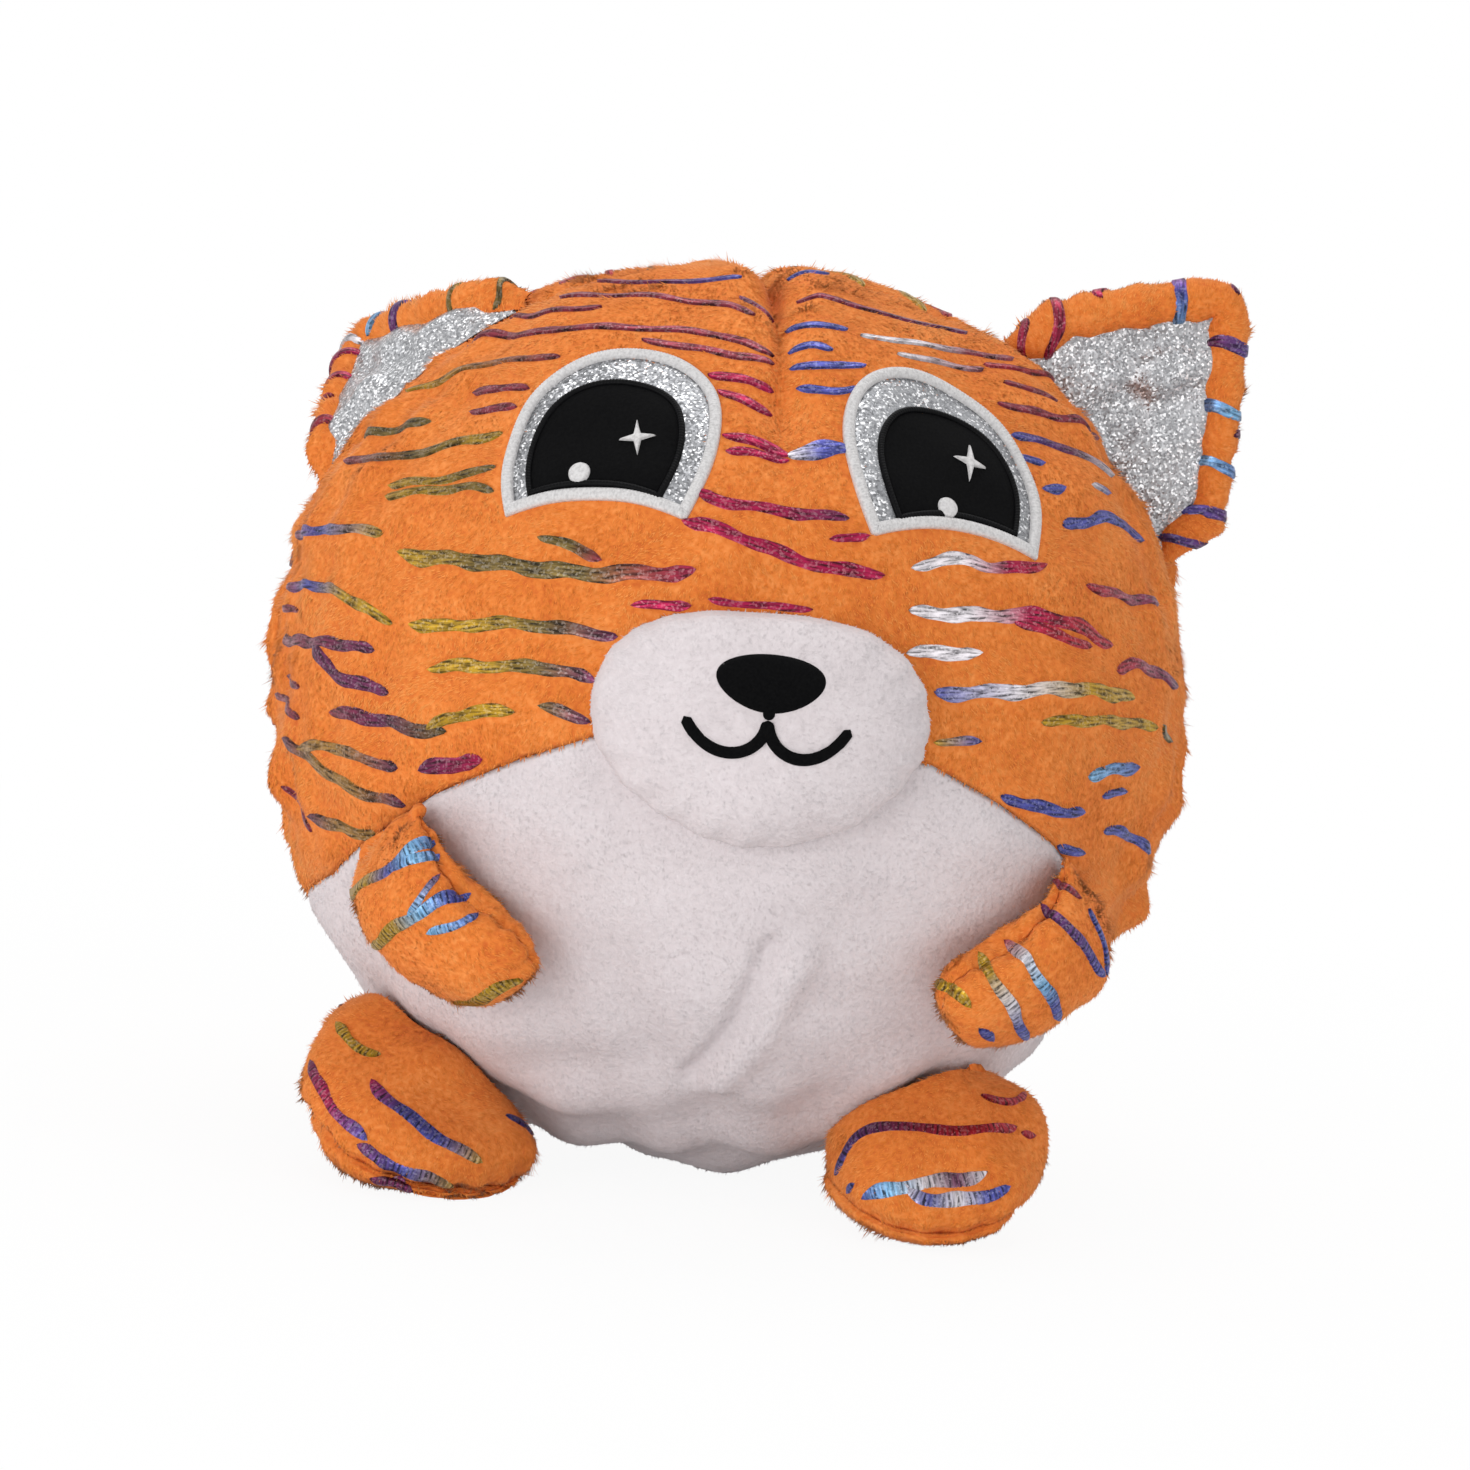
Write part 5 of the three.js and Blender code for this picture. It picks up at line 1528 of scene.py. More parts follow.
def foil_print():
    """Metal foil on pile: coloured mirror, dulled, with cracks across that show darker pile, and specks painted
    brighter as glints.
    """
    material, tree, shader = new_material("stamped_metal_foil", Metallic=0.7)
    tint = node(tree, "Attribute", attribute_name="foil").outputs["Color"]
    weft = node(tree, "Attribute", attribute_name="weft").outputs["Vector"]
    rows = node(tree, "VectorMath", {0: weft, 1: (1 / CRACK_LENGTH, 1 / CRACK, 0)}, operation="MULTIPLY")
    cracks = node(tree, "TexNoise", {"Vector": rows.outputs[0], "Scale": 1.0, "Detail": 3.0}).outputs[0]
    shade = ramp(tree, cracks, (0.36, "#5c5c5c"), (0.5, "#d2d2d2"), (0.62, "#ffffff"))
    dark = node(tree, "Mix", {0: 1.0, 6: tint, 7: shade}, data_type="RGBA", blend_type="MULTIPLY")
    place = node(tree, "TexCoord").outputs["Object"]
    # chance cells are painted brighter toward white as glints of the foil's flakes
    painted_glint_cells = node(tree, "TexVoronoi", {"Vector": place, "Scale": 1 / PAINTED_GLINT_SIZE}).outputs["Color"]
    lit = node(tree, "SeparateColor", {0: painted_glint_cells}).outputs[0]
    brightest = {"From Min": 0.6, "From Max": 1.0, "To Max": 0.6}
    flash = node(tree, "MapRange", {"Value": lit, **brightest}).outputs[0]
    bright = node(tree, "Mix", {0: 0.16, 6: tint, 7: linear("#ffffff")}, data_type="RGBA").outputs[2]
    colour = node(tree, "Mix", {0: flash, 6: dark.outputs[2], 7: bright}, data_type="RGBA")
    tree.links.new(colour.outputs[2], shader.inputs["Base Color"])
    wear = {"From Min": 0.3, "From Max": 0.7, "To Min": 0.6, "To Max": 0.3}
    dull = node(tree, "MapRange", {"Value": cracks, **wear})
    tree.links.new(dull.outputs[0], shader.inputs["Roughness"])
    bump = node(tree, "Bump", {"Height": cracks, "Strength": 0.5, "Distance": 0.25 * MM})
    tree.links.new(bump.outputs[0], shader.inputs["Normal"])
    return material


def smooth_line(stops, count=160):
    """A smooth line through stops: at each place four stops, weighted by the Catmull-Rom cubic."""
    stops = np.concatenate([[2 * stops[0] - stops[1]], stops, [2 * stops[-1] - stops[-2]]])
    spot = np.linspace(1, len(stops) - 2 - 1e-6, count)
    first = np.floor(spot).astype(int)
    return sum(stops[first + i] * weight[:, None] for i, weight in cubic_weights(spot - first))


def stripe(skin, tints, width, stops, seed, crosswise):
    """One ribbon: its points, colours and lengths. Its width wanders and runs out at both ends."""
    stops = np.array(stops, float)
    stops[1:-1] = stops[1:-1] / 2 + (stops[:-2] + stops[2:]) / 4
    line = smooth_line(stops)
    points = skin.at(line[:, 0], line[:, 1])[0]
    run = run_length(points)
    spots = np.linspace(0, run[-1], max(8, round(run[-1] / FOIL_STEP)))
    v, u = read_line(line, run, spots).T[..., None]
    centre, normal = skin.at(v[:, 0], u[:, 0])
    side = unit(np.cross(normal, np.gradient(centre, axis=0)))
    phase = np.random.default_rng(seed).uniform(0, 6, 3)
    wander = 1
    for (share, size), start in zip(FOIL_WANDER, phase):
        wander = wander + share * np.sin(spots / size + start)
    end = np.minimum(spots, run[-1] - spots)
    half = width / 2 * wander * np.minimum(1, end / (FOIL_TAPER * width)) ** 0.5
    sway = FOIL_SWAY * width * np.sin(spots / SWAY_LENGTH + phase[2])

    def beside(shares):
        """Lengths across the ribbon for shares of its half width, and the places there on the skin."""
        across = half[:, None] * shares + sway[:, None]
        dv, du = skin.shift(v, u, side[:, None] * across[..., None])
        return across, (v + dv, u + du)

    skin.clear(*beside(np.linspace(-1, 1, 9))[1])
    angle = round_angles(FOIL_COLUMNS)
    across, places = beside(np.cos(angle))
    rise = np.sin(angle)
    section = np.where(rise > 0, np.abs(rise) ** 0.25 * FOIL_LIFT, -FOIL_SINK * np.abs(rise))
    grid, upright = skin.at(*places, section * np.ones_like(across))
    shading = unit(upright + 0.3 * np.cos(angle)[:, None] ** 3 * side[:, None])
    colours = np.array([linear(FOIL[name]) for name in tints.split()])
    shades = read_line(colours, np.arange(len(colours)), spots / run[-1] * (len(colours) - 1))
    shades = np.repeat(shades[:, None], FOIL_COLUMNS, axis=1)
    lengths = [spots[:, None] + 0 * across, across]
    weft = np.stack([*(lengths[::-1] if crosswise else lengths), np.full_like(across, seed)], axis=-1)
    return grid, shades, weft, shading


def lay_stripes(name, skin, rows, body, first_seed, crosswise=False):
    """All stripes of one panel or limb as one piece; crosswise where the knit's rows cross the stripes."""
    made = []
    for seed, (tints, width, stops) in enumerate(rows, start=first_seed):
        made.append(stripe(skin, tints, width * MM, stops, seed, crosswise))
    grids, *layers = zip(*made)
    values = {}
    for label, layer in zip(("foil", "weft", "custom_normal"), layers):
        values[label] = np.concatenate([array.reshape(-1, array.shape[-1]) for array in layer])
    return make_piece(name, grids, metal_foil, body, "orange_plush", values=values)


metal_foil = foil_print()
print("foil colours:", list(FOIL))

# %% [markdown]
# The stripes on the face are read off the photograph, one by one: their colours from left to right, their
# width in millimetres, and their course as longitudes and latitudes in degrees.

# %% Face stripes
FACE_STRIPES = [
    ("maroon plum blue", 1.6, [(-75, 65), (-54, 70), (-18, 74)]),
    ("maroon", 2.2, [(-71, 59), (-53, 63), (-39, 67), (-17, 67), (-8, 64)]),
    ("maroon", 1.9, [(-86, 52.5), (-70, 54), (-51, 59)]),
    ("maroon", 2.3, [(-85, 46), (-76, 50), (-61, 51), (-43, 55), (-37, 58), (-25, 60), (-14, 59), (-2, 56)]),
    ("maroon", 2.3, [(-34, 55), (-17, 57), (-8, 54), (-2, 54)]),
    ("gold maroon", 1.9, [(-82, 36), (-74, 42), (-62, 46), (-47, 48)]),
    ("maroon", 2.3, [(-63, 40), (-54, 42), (-48, 42)]),
    ("maroon", 2.2, [(-59, 37), (-53, 38.5), (-48, 39)]),
    ("olive", 2.4, [(-83, 28), (-74, 31), (-66, 34)]),
    ("maroon olive gold", 2.8, [(-79, 24.5), (-70, 26.5), (-62, 29.5), (-56, 33), (-48, 35)]),
    ("gold olive", 2.5, [(-65, 24), (-55, 26.3), (-50, 28.3), (-45.5, 30.2)]),
    ("gold olive", 2.5, [(-64, 22.4), (-53.5, 25.3), (-48.5, 27), (-43.5, 26.8)]),
    ("plum maroon", 2.2, [(-15, 69.5), (-8, 69), (-2, 66)]),
    ("magenta", 2.8, [(-16, 51), (-8, 51), (-2, 49)]),
    ("magenta", 2.6, [(-13, 48), (-8, 47), (-2, 45)]),
    ("magenta", 3.0, [(-10.3, 40), (-6, 40.5), (-3, 38.8), (1.4, 38.2)]),
    ("magenta", 2.4, [(-9.3, 37.6), (-5.7, 37.8), (1.2, 37.4)]),
    ("silver blue blue", 5.6, [(0.8, 38.4), (4.7, 39), (12, 39.4)]),
    ("magenta magenta plum", 3.2, [(-13, 31), (-8, 29), (1, 30), (10, 29)]),
    ("magenta", 3.4, [(-14, 27), (-8, 26), (-2, 25), (2, 23), (10, 22), (15, 22)]),
    ("magenta", 2.2, [(7, 26), (13, 27)]),
    ("maroon plum", 1.9, [(8, 70), (31, 68), (58, 65), (69, 60)]),
    ("blue", 2.2, [(2, 62), (10, 61), (19, 61)]),
    ("silver silver maroon maroon", 1.9, [(22, 60), (39, 60), (57, 57), (71, 53)]),
    ("blue", 2.3, [(2, 56.5), (7, 57), (12, 56)]),
    ("blue", 2.2, [(2, 53), (10, 53), (19, 53.5)]),
    ("blue", 2.2, [(3, 49.5), (9, 48), (16, 49.5)]),
    ("blue", 1.6, [(14, 80), (47, 79)]),
    ("silver maroon", 1.9, [(29, 56), (41, 56), (47, 54), (55, 53)]),
    ("red maroon", 1.9, [(57, 54), (68, 51), (86, 46.5)]),
    ("maroon", 1.9, [(56, 50), (63, 48), (70, 45)]),
    ("maroon", 2.3, [(49, 47), (59, 44), (70, 41), (80, 38)]),
    ("blue plum silver", 2.4, [(47, 42), (56, 40), (65, 37), (72, 33)]),
    ("blue", 2.0, [(46, 38.5), (51, 37)]),
    ("blue", 3.0, [(47, 33.5), (52, 33)]),
    ("silver blue", 2.3, [(60, 33), (65, 31)]),
    ("blue", 3.2, [(48, 28), (53, 28), (61, 29), (66, 27), (71, 24)]),
    ("red plum", 2.8, [(49, 20), (55, 19), (62, 17), (72, 16)]),
    (
        "silver silver magenta red", 3.2,
        [(19, 23), (25, 24.3), (28.5, 24.7), (31, 22.5), (35, 22.9), (42, 23.2)],
    ),
    (
        "silver silver magenta red red", 3.8,
        [(18.3, 17.3), (24, 17.6), (29.6, 16.4), (36.4, 17.4), (43.5, 16.2), (53.6, 12)],
    ),
    ("magenta red red", 2.8, [(34.5, 16.2), (40.4, 14.6), (48, 12.1)]),
    ("silver", 3.5, [(18, 12), (23, 12.5), (29, 12)]),
    ("red plum", 3.2, [(54, 9), (59, 10), (65, 8), (73, 5)]),
    ("maroon blue gold", 2.8, [(-88, 13), (-73, 15.5), (-66, 17.5), (-60, 18)]),
    (
        "gold olive olive magenta", 4.2,
        [(-56, 16), (-49, 16.5), (-43, 17.5), (-36, 18), (-27, 18), (-20, 19), (-11, 20.5)],
    ),
    ("olive olive maroon", 2.8, [(-34, 22), (-28.5, 21.8), (-24, 20.4)]),
    ("maroon blue gold gold", 2.8, [(-82, 7), (-72, 9), (-65, 10), (-59, 8), (-53, 7.5)]),
    ("gold gold olive plum", 3.4, [(-50, 8), (-45, 8), (-39, 10), (-33, 11), (-27, 11), (-20, 11)]),
    ("gold gold olive plum", 3.4, [(-46, 3), (-42, 4), (-37, 5), (-33, 5), (-30, 6), (-26, 6), (-22, 5)]),
    ("maroon plum", 3.2, [(-84, 0), (-70, 2), (-62, 3.5), (-56, 3.5)]),
    ("plum", 3.4, [(-69, 2), (-66, 0.2), (-62, -1), (-57, -1), (-52, -1)]),
    ("maroon plum olive", 3.8, [(-64, -5.5), (-57, -5), (-52, -4.5), (-47, -5), (-42, -4.5)]),
    ("gold", 3.3, [(-45, -4.6), (-42, -2.4), (-38, -1), (-32, 0)]),
    ("olive plum", 3.0, [(-29, 1), (-26, 1), (-22, 0)]),
    ("magenta", 2.6, [(-19, 15), (-16, 16), (-11, 16)]),
    ("magenta", 2.0, [(-9, 17), (-3, 17), (5, 17)]),
    ("plum magenta", 4.6, [(-46, -10), (-41, -8), (-36, -7)]),
    # the lighter olive in these three stripes is painted lighter against the shade low on the left
    ("plum bronze bronze plum", 3.4, [(-76, -11), (-70, -12), (-61, -14), (-54, -15), (-49, -15)]),
    ("bronze bronze plum", 3.0, [(-72, -11.6), (-66, -10), (-61, -9.5), (-56, -10.5), (-50, -10.5)]),
    ("plum bronze bronze", 3.4, [(-71, -20), (-65, -20), (-60, -21), (-56, -20)]),
    ("maroon", 1.9, [(-79, -17.5), (-75, -20), (-71.5, -22.2)]),
    ("maroon", 1.9, [(-80, -4), (-72, -4)]),
    ("maroon", 1.9, [(-85, -7), (-77, -7), (-72, -8)]),
    ("maroon", 1.9, [(-84, 4), (-76, 5)]),
    ("blue silver gold gold", 3.8, [(22, 7), (34, 7), (42, 8), (50, 6.5), (58, 5)]),
    ("gold", 3.0, [(38, 3.5), (49, 3.5), (64, 1)]),
    ("gold blue", 2.3, [(22, 1), (29, 1)]),
    ("cyan blue", 3.4, [(48, -4), (54, -3.5), (61, -4)]),
    ("blue", 2.4, [(53, -7), (59, -7)]),
    ("blue", 3.2, [(33, -6), (40, -8), (49, -9)]),
    ("blue", 2.8, [(56, -12), (61, -12), (72, -16)]),
    ("blue", 2.6, [(45, -13), (51, -14.5)]),
    ("olive", 2.2, [(66, 1), (71, -2)]),
]


def ball_stripes(rows):
    """Stripes whose courses in degrees are turned into shares of the ball's skin."""
    made = []
    for tints, width, stops in rows:
        shares = [(lat / 180 + 0.5, lon / 360 + 0.5) for lon, lat in stops]
        made.append((tints, width, shares))
    return made


lay_stripes("face_stripes", ball_skin, ball_stripes(FACE_STRIPES), "body", first_seed=100)
print("face stripes:", len(FACE_STRIPES))

# %% [markdown]
# The photograph shows nothing of the back, so the same kind of stripe carries on there: rows of wavy dashes
# with seeded lengths, gaps and colours, as a rolled print would repeat.

# %% Back stripes
BACK_ROW = 6.6  # degrees between rows
BACK_START, BACK_END = 96, 176  # longitudes, from the side seam to the middle of the back
BACK_LATITUDES = np.arange(-58, 78, BACK_ROW)
DASH_LENGTH, DASH_GAP = (13, 30), (4, 9)  # shortest and longest, in degrees of the ball's girth
DASH_BEND, DASH_SLOPE = 2.2, 2.5  # degrees up or down
DASH_WIDTH = (2.0, 3.8)  # millimetres
COLOUR_ROUND = ["gold", "olive", "maroon", "magenta", "plum", "blue", "silver", "red"]


def back_stripes(mirror, seed):
    """Rows of dashes over one half of the back, their colours drifting round the palette."""
    random = np.random.default_rng(seed)
    share = np.linspace(0, 1, 5)
    made = []
    for lat in BACK_LATITUDES:
        shrink = np.cos(np.radians(lat))
        lon = BACK_START + random.uniform(0, 10)
        while lon < BACK_END - 8 / shrink:
            length = min(random.uniform(*DASH_LENGTH) / shrink, BACK_END - lon)
            bend = random.uniform(-DASH_BEND, DASH_BEND, 5)
            bend += random.uniform(-DASH_SLOPE, DASH_SLOPE) * (share - 0.5)
            first = int(lat / 14 + lon / 33 + random.integers(0, 2)) % len(COLOUR_ROUND)
            tints = " ".join(COLOUR_ROUND[(first + step) % len(COLOUR_ROUND)] for step in (0, 0, 1))
            stops = np.stack([mirror * (lon + length * share), lat + bend], axis=-1)
            made.append((tints, random.uniform(*DASH_WIDTH), stops))
            lon += length + random.uniform(*DASH_GAP) / shrink
    return made


for first_seed, (side, mirror) in zip((300, 500), SIDES.items()):
    rows = back_stripes(mirror, seed=40 + mirror)
    lay_stripes(f"back_{side}_stripes", ball_skin, ball_stripes(rows), "body", first_seed)
    print("back stripes on the", side, len(rows))

# %% [markdown]
# The stripes on ears, arms and feet wrap round them. Their courses are shares along the limb and round it,
# placed so that they fall where the photograph shows them. Where it shows nothing, a few more carry on.

# %% Limb stripes
EAR_STRIPES = {  # colours, width, place along the rim and the two places round it: 0 inside, 0.5 outside
    "left": [
        ("olive", 1.8, 0.06, 0.4, 0.9),
        ("gold olive", 1.8, 0.17, 0.4, 1.0),
        ("blue plum", 2.4, 0.37, 0.3, 1.05),
        ("blue cyan", 3.0, 0.47, 0.35, 0.9),
        ("silver", 2.4, 0.56, 0.4, 0.95),
        ("plum magenta", 2.8, 0.63, 0.3, 1.0),
        ("maroon magenta", 2.6, 0.72, 0.3, 1.0),
        ("red", 2.4, 0.79, 0.35, 0.85),
        ("red maroon", 2.6, 0.88, 0.3, 1.0),
    ],
    "right": [
        ("maroon magenta", 2.4, 0.03, 0.4, 1.0),
        ("maroon magenta", 3.0, 0.075, 0.4, 1.05),
        ("magenta", 3.6, 0.18, 0.35, 0.62),
        ("magenta blue cyan", 3.6, 0.345, 0.3, 1.05),
        ("plum", 2.2, 0.45, 0.3, 0.6),
        ("blue plum", 3.6, 0.54, 0.3, 1.0),
        ("plum cyan blue", 3.4, 0.68, 0.3, 1.05),
        ("plum", 2.2, 0.73, 0.3, 0.65),
        ("blue cyan", 3.4, 0.8, 0.3, 1.05),
        ("plum blue", 3.2, 0.9, 0.3, 1.0),
        ("plum blue", 2.6, 0.95, 0.4, 1.0),
    ],
}
EAR_BACK_STRIPES = [  # colours, width and course: share outward on the back sheet and round it
    ("magenta blue", 3.0, [(0.44, 0.16), (0.34, 0.2), (0.28, 0.3)]),
    ("gold olive", 3.0, [(0.3, 0.1), (0.2, 0.05), (0.25, 0.95)]),
    ("plum", 2.6, [(0.42, 0.34), (0.34, 0.36), (0.28, 0.44)]),
    ("blue", 2.6, [(0.42, 0.46), (0.3, 0.5), (0.2, 0.58)]),
]
ARM_STRIPES = {  # colours, width and course: share along the arm and round it, 0 to 0.5 on its outer half
    "left": [
        ("gold gold gold blue cyan blue", 3.6, [(0.22, 0.46), (0.23, 0.25), (0.24, 0.1), (0.23, -0.02)]),
        ("blue cyan blue", 3.2, [(0.24, 0.18), (0.28, 0.08), (0.29, -0.02)]),
        ("gold gold gold cyan blue blue", 3.4, [(0.42, 0.4), (0.41, 0.19), (0.43, 0.1), (0.46, -0.03)]),
        ("cyan blue", 2.4, [(0.49, 0.19), (0.52, 0.13), (0.54, 0.03)]),
        ("cyan plum", 1.8, [(0.41, 0.19), (0.38, 0.11), (0.36, 0.04)]),
        ("gold", 4.2, [(0.75, 0.42), (0.8, 0.25), (0.85, 0.1)]),
        ("blue plum", 2.6, [(0.36, 0.62), (0.38, 0.75), (0.36, 0.9)]),
        ("gold", 2.6, [(0.6, 0.6), (0.62, 0.72), (0.6, 0.85)]),
    ],
    "right": [
        ("maroon", 2.2, [(0.2, -0.05), (0.2, 0.11)]),
        ("plum blue", 3.0, [(0.32, -0.04), (0.32, 0.1), (0.34, 0.3)]),
        ("red silver cyan blue blue", 3.2, [(0.49, -0.04), (0.51, 0.11), (0.53, 0.33)]),
        ("gold gold silver blue blue", 3.2, [(0.6, -0.05), (0.63, 0.11), (0.66, 0.35)]),
        ("blue", 2.2, [(0.2, 0.16), (0.24, 0.24), (0.33, 0.31)]),
        ("gold", 3.4, [(0.81, -0.12), (0.79, 0.02), (0.76, 0.12)]),
        ("blue", 3.0, [(0.78, 0.2), (0.77, 0.28)]),
        ("blue plum", 2.6, [(0.36, 0.55), (0.38, 0.7), (0.36, 0.85)]),
        ("gold", 2.6, [(0.6, 0.55), (0.62, 0.68), (0.6, 0.8)]),
    ],
}
FOOT_STRIPES = {  # colours, width and course: share from the sole's middle to the crown, and round the foot
    "left": [
        ("gold", 3.0, [(0.77, 0.37), (0.8, 0.29), (0.82, 0.19)]),
        (
            "magenta blue blue gold", 3.6,
            [(0.72, 0.2), (0.67, 0.15), (0.64, 0.11), (0.57, 0.07), (0.52, 0.02)],
        ),
        ("plum magenta blue", 3.0, [(0.62, 0.34), (0.55, 0.28), (0.52, 0.2)]),
        ("plum blue gold", 3.0, [(0.48, 0.22), (0.46, 0.15), (0.44, 0.06)]),
        ("plum", 2.2, [(0.36, 0.2), (0.35, 0.13)]),
        ("maroon plum", 3.0, [(0.7, 0.48), (0.62, 0.53), (0.55, 0.6)]),
        ("blue gold", 3.0, [(0.52, 0.45), (0.47, 0.52), (0.45, 0.6)]),
        ("blue plum", 2.8, [(0.6, 0.92), (0.52, 0.88), (0.47, 0.82)]),
    ],
    "right": [
        ("blue plum red red", 3.0, [(0.43, -0.05), (0.54, -0.04), (0.71, 0.03), (0.76, 0.15), (0.74, 0.28)]),
        ("red", 2.4, [(0.87, 0.2), (0.83, 0.3), (0.78, 0.4)]),
        ("blue cyan silver plum silver", 3.8, [(0.44, 0.03), (0.52, 0.075), (0.59, 0.12), (0.61, 0.2)]),
        ("silver blue silver blue blue", 3.8, [(0.53, 0.08), (0.51, 0.11), (0.525, 0.16), (0.54, 0.24)]),
        ("blue", 2.2, [(0.42, -0.01), (0.46, 0.01)]),
        ("red", 2.2, [(0.71, 0.29), (0.66, 0.33)]),
        ("plum red", 3.0, [(0.62, 0.45), (0.56, 0.52), (0.5, 0.56)]),
        ("gold blue", 3.0, [(0.62, 0.9), (0.55, 0.85), (0.48, 0.8)]),
    ],
}


RING_WAVER = 0.015 * np.array([0, 1, 0, -1, 0])  # how a ring wavers along the rim
for first_seed, side in zip((700, 760), SIDES):
    rim, back = ear_skins[side]
    rings = []
    for tints, width, spot, start, end in EAR_STRIPES[side]:
        around = np.linspace(start, end, len(RING_WAVER))
        rings.append((tints, width, np.stack([spot + RING_WAVER, around], axis=-1)))
    striped = [  # name, body, skin, stripes, step of the seeds, and whether the knit's rows cross them
        ("ear_rim", "ear", rim, rings, 0, False),
        ("ear_back", "ear", back, EAR_BACK_STRIPES, 15, False),
        ("arm", "arm", arm_skins[side], ARM_STRIPES[side], 20, True),
        ("foot", "foot", foot_skins[side], FOOT_STRIPES[side], 40, True),
    ]
    for name, limb, skin, rows, step, crosswise in striped:
        lay_stripes(f"{side}_{name}_stripes", skin, rows, f"{side}_{limb}", first_seed + step, crosswise)
        print(side, name, "stripes:", len(rows))

# %% [markdown]
# ## Pile
# The pile makes the toy soft to look at: short strands that all lie one way, the nap, with swirls where
# hands brushed them. Each strand here is a thin three-sided spike, a few hundred thousand in all. Real
# strands are finer and closer, so these stand for small clumps. Roots are scattered evenly over a skin by
# seeded chance, except where something covers it. Orange strands stand up in tufts where the skin turns
# away from the front, which breaks the outline. All strands take most of their shading from the skin under
# them, which keeps the cloth smooth and not bristly.

# %% Pile
STRAND_HALF_WIDTH, ROOT_DEPTH = 0.23 * MM, 0.3 * MM
STRANDS_PER_PIECE = 60000
STRANDS = {"orange": orange_strands, "white": white_strands}
CONTRAST = {"orange": 0.5, "white": 0.22}  # how much of a strand's own roundness its shading shows
NAP_LAY, NAP_SPREAD = 66, 9  # degrees by which strands lie over, and by which they differ
SWIRL, SWIRL_SIZE, SWIRL_CHANCE = 0.55, 26 * MM, 0.4  # turn of the nap in patches, and strand by strand
STRAY_SHARE, STRAY_LIFT, STRAY_LENGTH = 0.03, 22, 1.2  # strands that stand up, by degrees, and are longer
TUFT_SPACING, TUFT_LIFT, TUFT_LENGTH = 8 * MM, 14, 0.9  # tufts of orange strands, in the same way
STRAND_FLOOR = 0.05 * MM


def scatter(skin, density, random):
    """Shares of evenly scattered roots: cells drawn by their area, and a chance place in each."""
    grid = skin.grid
    beside = np.roll(grid, -1, axis=1)
    area = np.linalg.norm(np.cross(beside[:-1] - grid[:-1], grid[1:] - grid[:-1]), axis=-1)
    count = int(area.sum() * density)
    cells = random.choice(area.size, count, p=area.ravel() / area.sum())
    row, column = np.divmod(cells, grid.shape[1])
    v = (row + random.random(count)) / (len(grid) - 1)
    u = (column + random.random(count)) / grid.shape[1]
    free = ~skin.bare[skin.cell(v, u)]
    return v[free], u[free]


def along_skin(way, normal):
    """Unit directions with the part along the normal taken out."""
    return unit(way - normal * (way * normal).sum(-1, keepdims=True))


def strands(skin, v, u, nap, length, kind, random):
    """Four points and normals for each strand: three at its root and its tip, laid over along the nap."""
    root, normal = skin.at(v, u, -ROOT_DEPTH)
    count = len(root)
    way = nap(root)
    swirl = SWIRL * swell(root, SWIRL_SIZE, seed=31) + SWIRL_CHANCE * random.normal(size=count)
    way = along_skin(way, normal) + unit(np.cross(normal, way)) * swirl[:, None]
    way = along_skin(way, normal)
    stray = random.random(count) < STRAY_SHARE
    tuft = fade(swell(root, TUFT_SPACING, seed=33), 0.7, 1.6) * fade(normal[:, 1], -0.5, -0.15)
    tuft *= kind == "orange"
    lift = STRAY_LIFT * stray + TUFT_LIFT * tuft
    lean = np.radians(NAP_LAY - lift + NAP_SPREAD * random.normal(size=count))[:, None]
    fibre = normal * np.cos(lean) + way * np.sin(lean)
    side = np.cross(normal, way)
    longer = np.where(stray, STRAY_LENGTH, 1) * (1 + TUFT_LENGTH * tuft)
    reach = length * random.uniform(0.7, 1.2, (count, 1)) * longer[:, None]
    wide = STRAND_HALF_WIDTH * random.uniform(0.7, 1.3, (count, 1))
    corners = root - side * wide, root + side * wide, root + normal * wide, root + fibre * reach
    points = np.stack(corners, axis=1)
    points[..., 2] = np.maximum(points[..., 2], STRAND_FLOOR)
    bulge = CONTRAST[kind] * side
    tip = normal + 0.7 * CONTRAST[kind] * fibre
    return points, unit(np.stack([normal - bulge, normal + bulge, normal, tip], axis=1))


def pile_piece(name, points, shading, tint, materials, body, slot):
    """One mesh of strands: three faces for each, with the tint's material and the given shading."""
    count = len(points)
    corners = np.array([[2, 0, 3], [1, 2, 3], [0, 1, 3]])
    faces = 4 * np.arange(count)[:, None, None] + corners
    mesh = bpy.data.meshes.new(name)
    mesh.vertices.add(4 * count)
    mesh.vertices.foreach_set("co", points.astype(np.float32).ravel())
    mesh.loops.add(9 * count)
    mesh.loops.foreach_set("vertex_index", faces.astype(np.int32).ravel())
    mesh.polygons.add(3 * count)
    mesh.polygons.foreach_set("loop_start", 3 * np.arange(3 * count, dtype=np.int32))
    mesh.polygons.foreach_set("material_index", np.repeat(tint, 3).astype(np.int32))
    mesh.update(calc_edges=True)
    layer = mesh.attributes.new("custom_normal", "FLOAT_VECTOR", "POINT")
    layer.data.foreach_set("vector", shading.astype(np.float32).ravel())
    return link_piece(name, mesh, materials, body, slot)


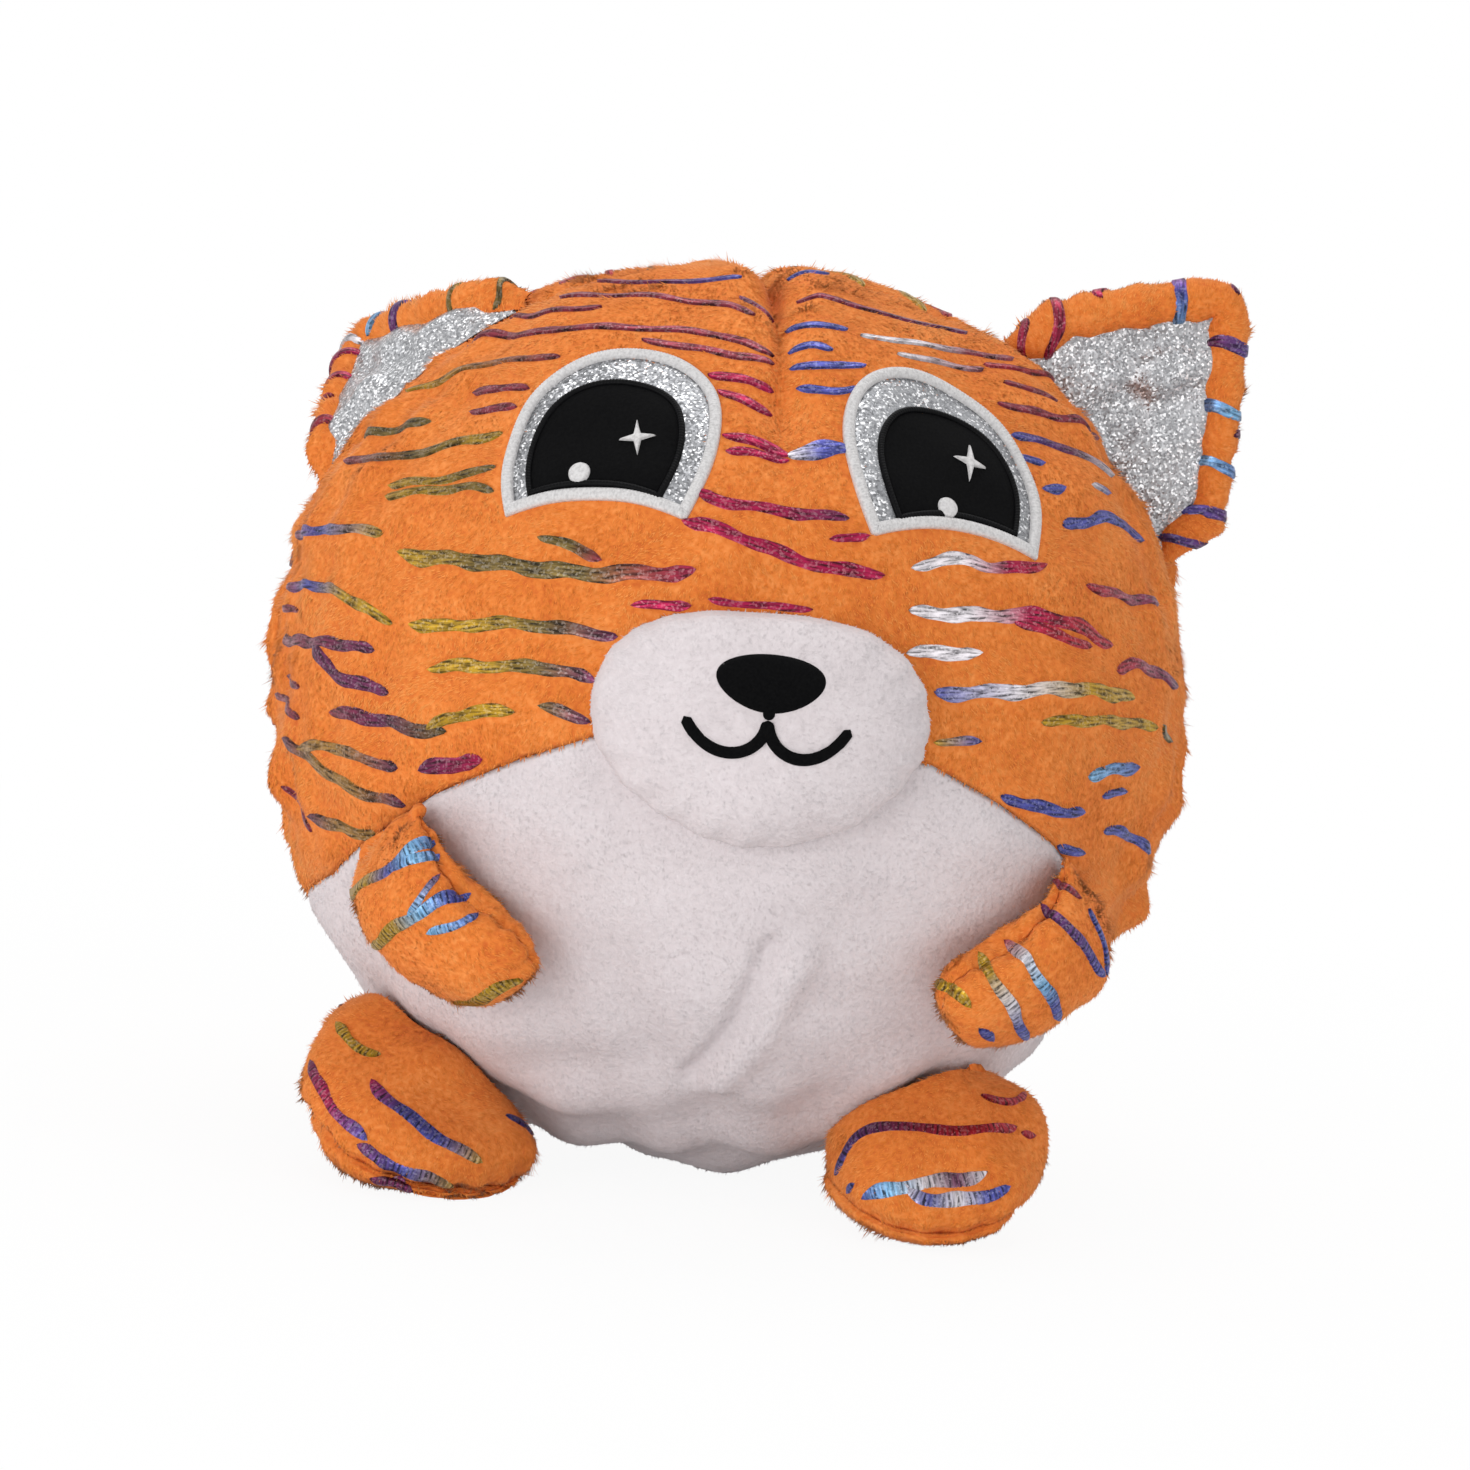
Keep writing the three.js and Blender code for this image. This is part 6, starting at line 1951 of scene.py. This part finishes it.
def grow_pile(name, skin, v, u, nap, kind, body, seed, length):
    """Grows strands at given roots, in pieces of limited size; their tints drift in soft patches of painted light and
    shade.
    """
    random = np.random.default_rng(seed)
    materials = STRANDS[kind]
    points, shading = strands(skin, v, u, nap, length, kind, random)
    patch = swell(points[:, 3], BRUSHED_SHEEN_PATCH * 2, seed=32) * 0.6 + random.normal(size=len(points)) * 0.8
    tint = np.clip(np.round(patch + (len(materials) - 1) / 2), 0, len(materials) - 1)
    pieces = -(-len(points) // STRANDS_PER_PIECE)
    for piece, some in enumerate(np.array_split(np.arange(len(points)), pieces)):
        label = f"{name}_{piece}"
        pile_piece(label, points[some], shading[some], tint[some], materials, body, f"{kind}_plush")
    print(name, len(points), "strands")


def downward(points):
    """Nap on the ball: down, and a little away from the face's middle."""
    return np.array([0, 0, -1]) + 0.25 * unit(points * [1, 0, 0])


print("strands of up to", STRANDS_PER_PIECE, "to a piece")

# %% Ball pile
BALL_DENSITY = 1.7e6  # strands to a square metre
PILE_LENGTH = {"orange": 1.8 * MM, "white": 1.2 * MM}
v, u = scatter(ball_skin, BALL_DENSITY, np.random.default_rng(51))
lon, lat = u * 360 - 180, v * 180 - 90
front = np.abs(lon) < 90
white = front & (lat < tummy_latitude(lon))
regions = {
    "face": (front & ~white, "orange"),
    "tummy": (white, "white"),
    "back_left": (~front & (lon < 0), "orange"),
    "back_right": (~front & (lon > 0), "orange"),
}
for seed, (name, (inside, kind)) in enumerate(regions.items(), start=60):
    roots = v[inside], u[inside]
    grow_pile(f"{name}_pile", ball_skin, *roots, downward, kind, "body", seed, PILE_LENGTH[kind])

# %% [markdown]
# The muzzle, the ears, the arms and the feet have the same pile, each with its own nap: outward from the
# muzzle's middle, from the hinge to the tip on ears and arms, and down and outward on the feet.

# %% Pile on the muzzle and limbs
LIMB_DENSITY, MUZZLE_DENSITY = 1.7e6, 1.6e6
LIMB_LENGTH = 1.6 * MM
MUZZLE_PART = np.array([0, 0, 12]) * MM  # from the middle up to where the nap parts
FOOT_PART = np.array([0, 0, 10]) * MM


def away_from(middle):
    """Nap that runs away from a place."""
    return lambda points: unit(points - middle)


nose_fill = grown(nose_outline, np.linspace(0, 1, 60))
muzzle_skin.clear(*muzzle_share(nose_fill[..., 0], nose_fill[..., 1]))
for part in [stem, *smiles]:
    line = even_line(part, 200)
    across = np.linspace(-MOUTH_HALF_LINE, MOUTH_HALF_LINE, 15)[:, None]
    strip = line[:, None] + left_of(line)[:, None] * across
    muzzle_skin.clear(*muzzle_share(strip[..., 0], strip[..., 1]))
roots = scatter(muzzle_skin, MUZZLE_DENSITY, np.random.default_rng(70))
nap = away_from(muzzle_skin.grid[0, 0] + MUZZLE_PART)
grow_pile("muzzle_pile", muzzle_skin, *roots, nap, "white", "body", 71, PILE_LENGTH["white"])
for side, mirror in SIDES.items():
    rim, back = ear_skins[side]
    arm, foot = arm_skins[side], foot_skins[side]
    hinge = on_ball(direction(90, EAR_LATITUDE)) * [mirror, 1, 1]
    shoulder = arm.grid[0].mean(axis=0)
    instep = foot.grid[-1].mean(axis=0) + FOOT_PART
    furred = [  # name, body, skin, where its nap starts, and the shares along it between which pile grows
        ("ear_rim", "ear", rim, hinge, 0, 1),
        ("ear_back", "ear", back, hinge, 0, 0.48),
        ("arm", "arm", arm, shoulder, 0.02, 1),
        ("foot", "foot", foot, instep, 0.1, 1),
    ]
    for seed, (name, limb, skin, start, low, high) in enumerate(furred, start=72):
        v, u = scatter(skin, LIMB_DENSITY, np.random.default_rng(seed))
        inside = (v > low) & (v < high)
        roots, body = (v[inside], u[inside]), f"{side}_{limb}"
        grow_pile(f"{side}_{name}_pile", skin, *roots, away_from(start), "orange", body, seed, LIMB_LENGTH)

# %% [markdown]
# ## Finish
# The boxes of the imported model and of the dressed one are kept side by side, so that they can be compared.

# %% Sizes and finish
boxes = {"cad": cad_box, "visual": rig.bounds()}
sizes = {name: [list(corner) for corner in box] for name, box in boxes.items()}
with open("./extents.json", "w") as out:
    json.dump(sizes, out)
print("sizes:", sizes)
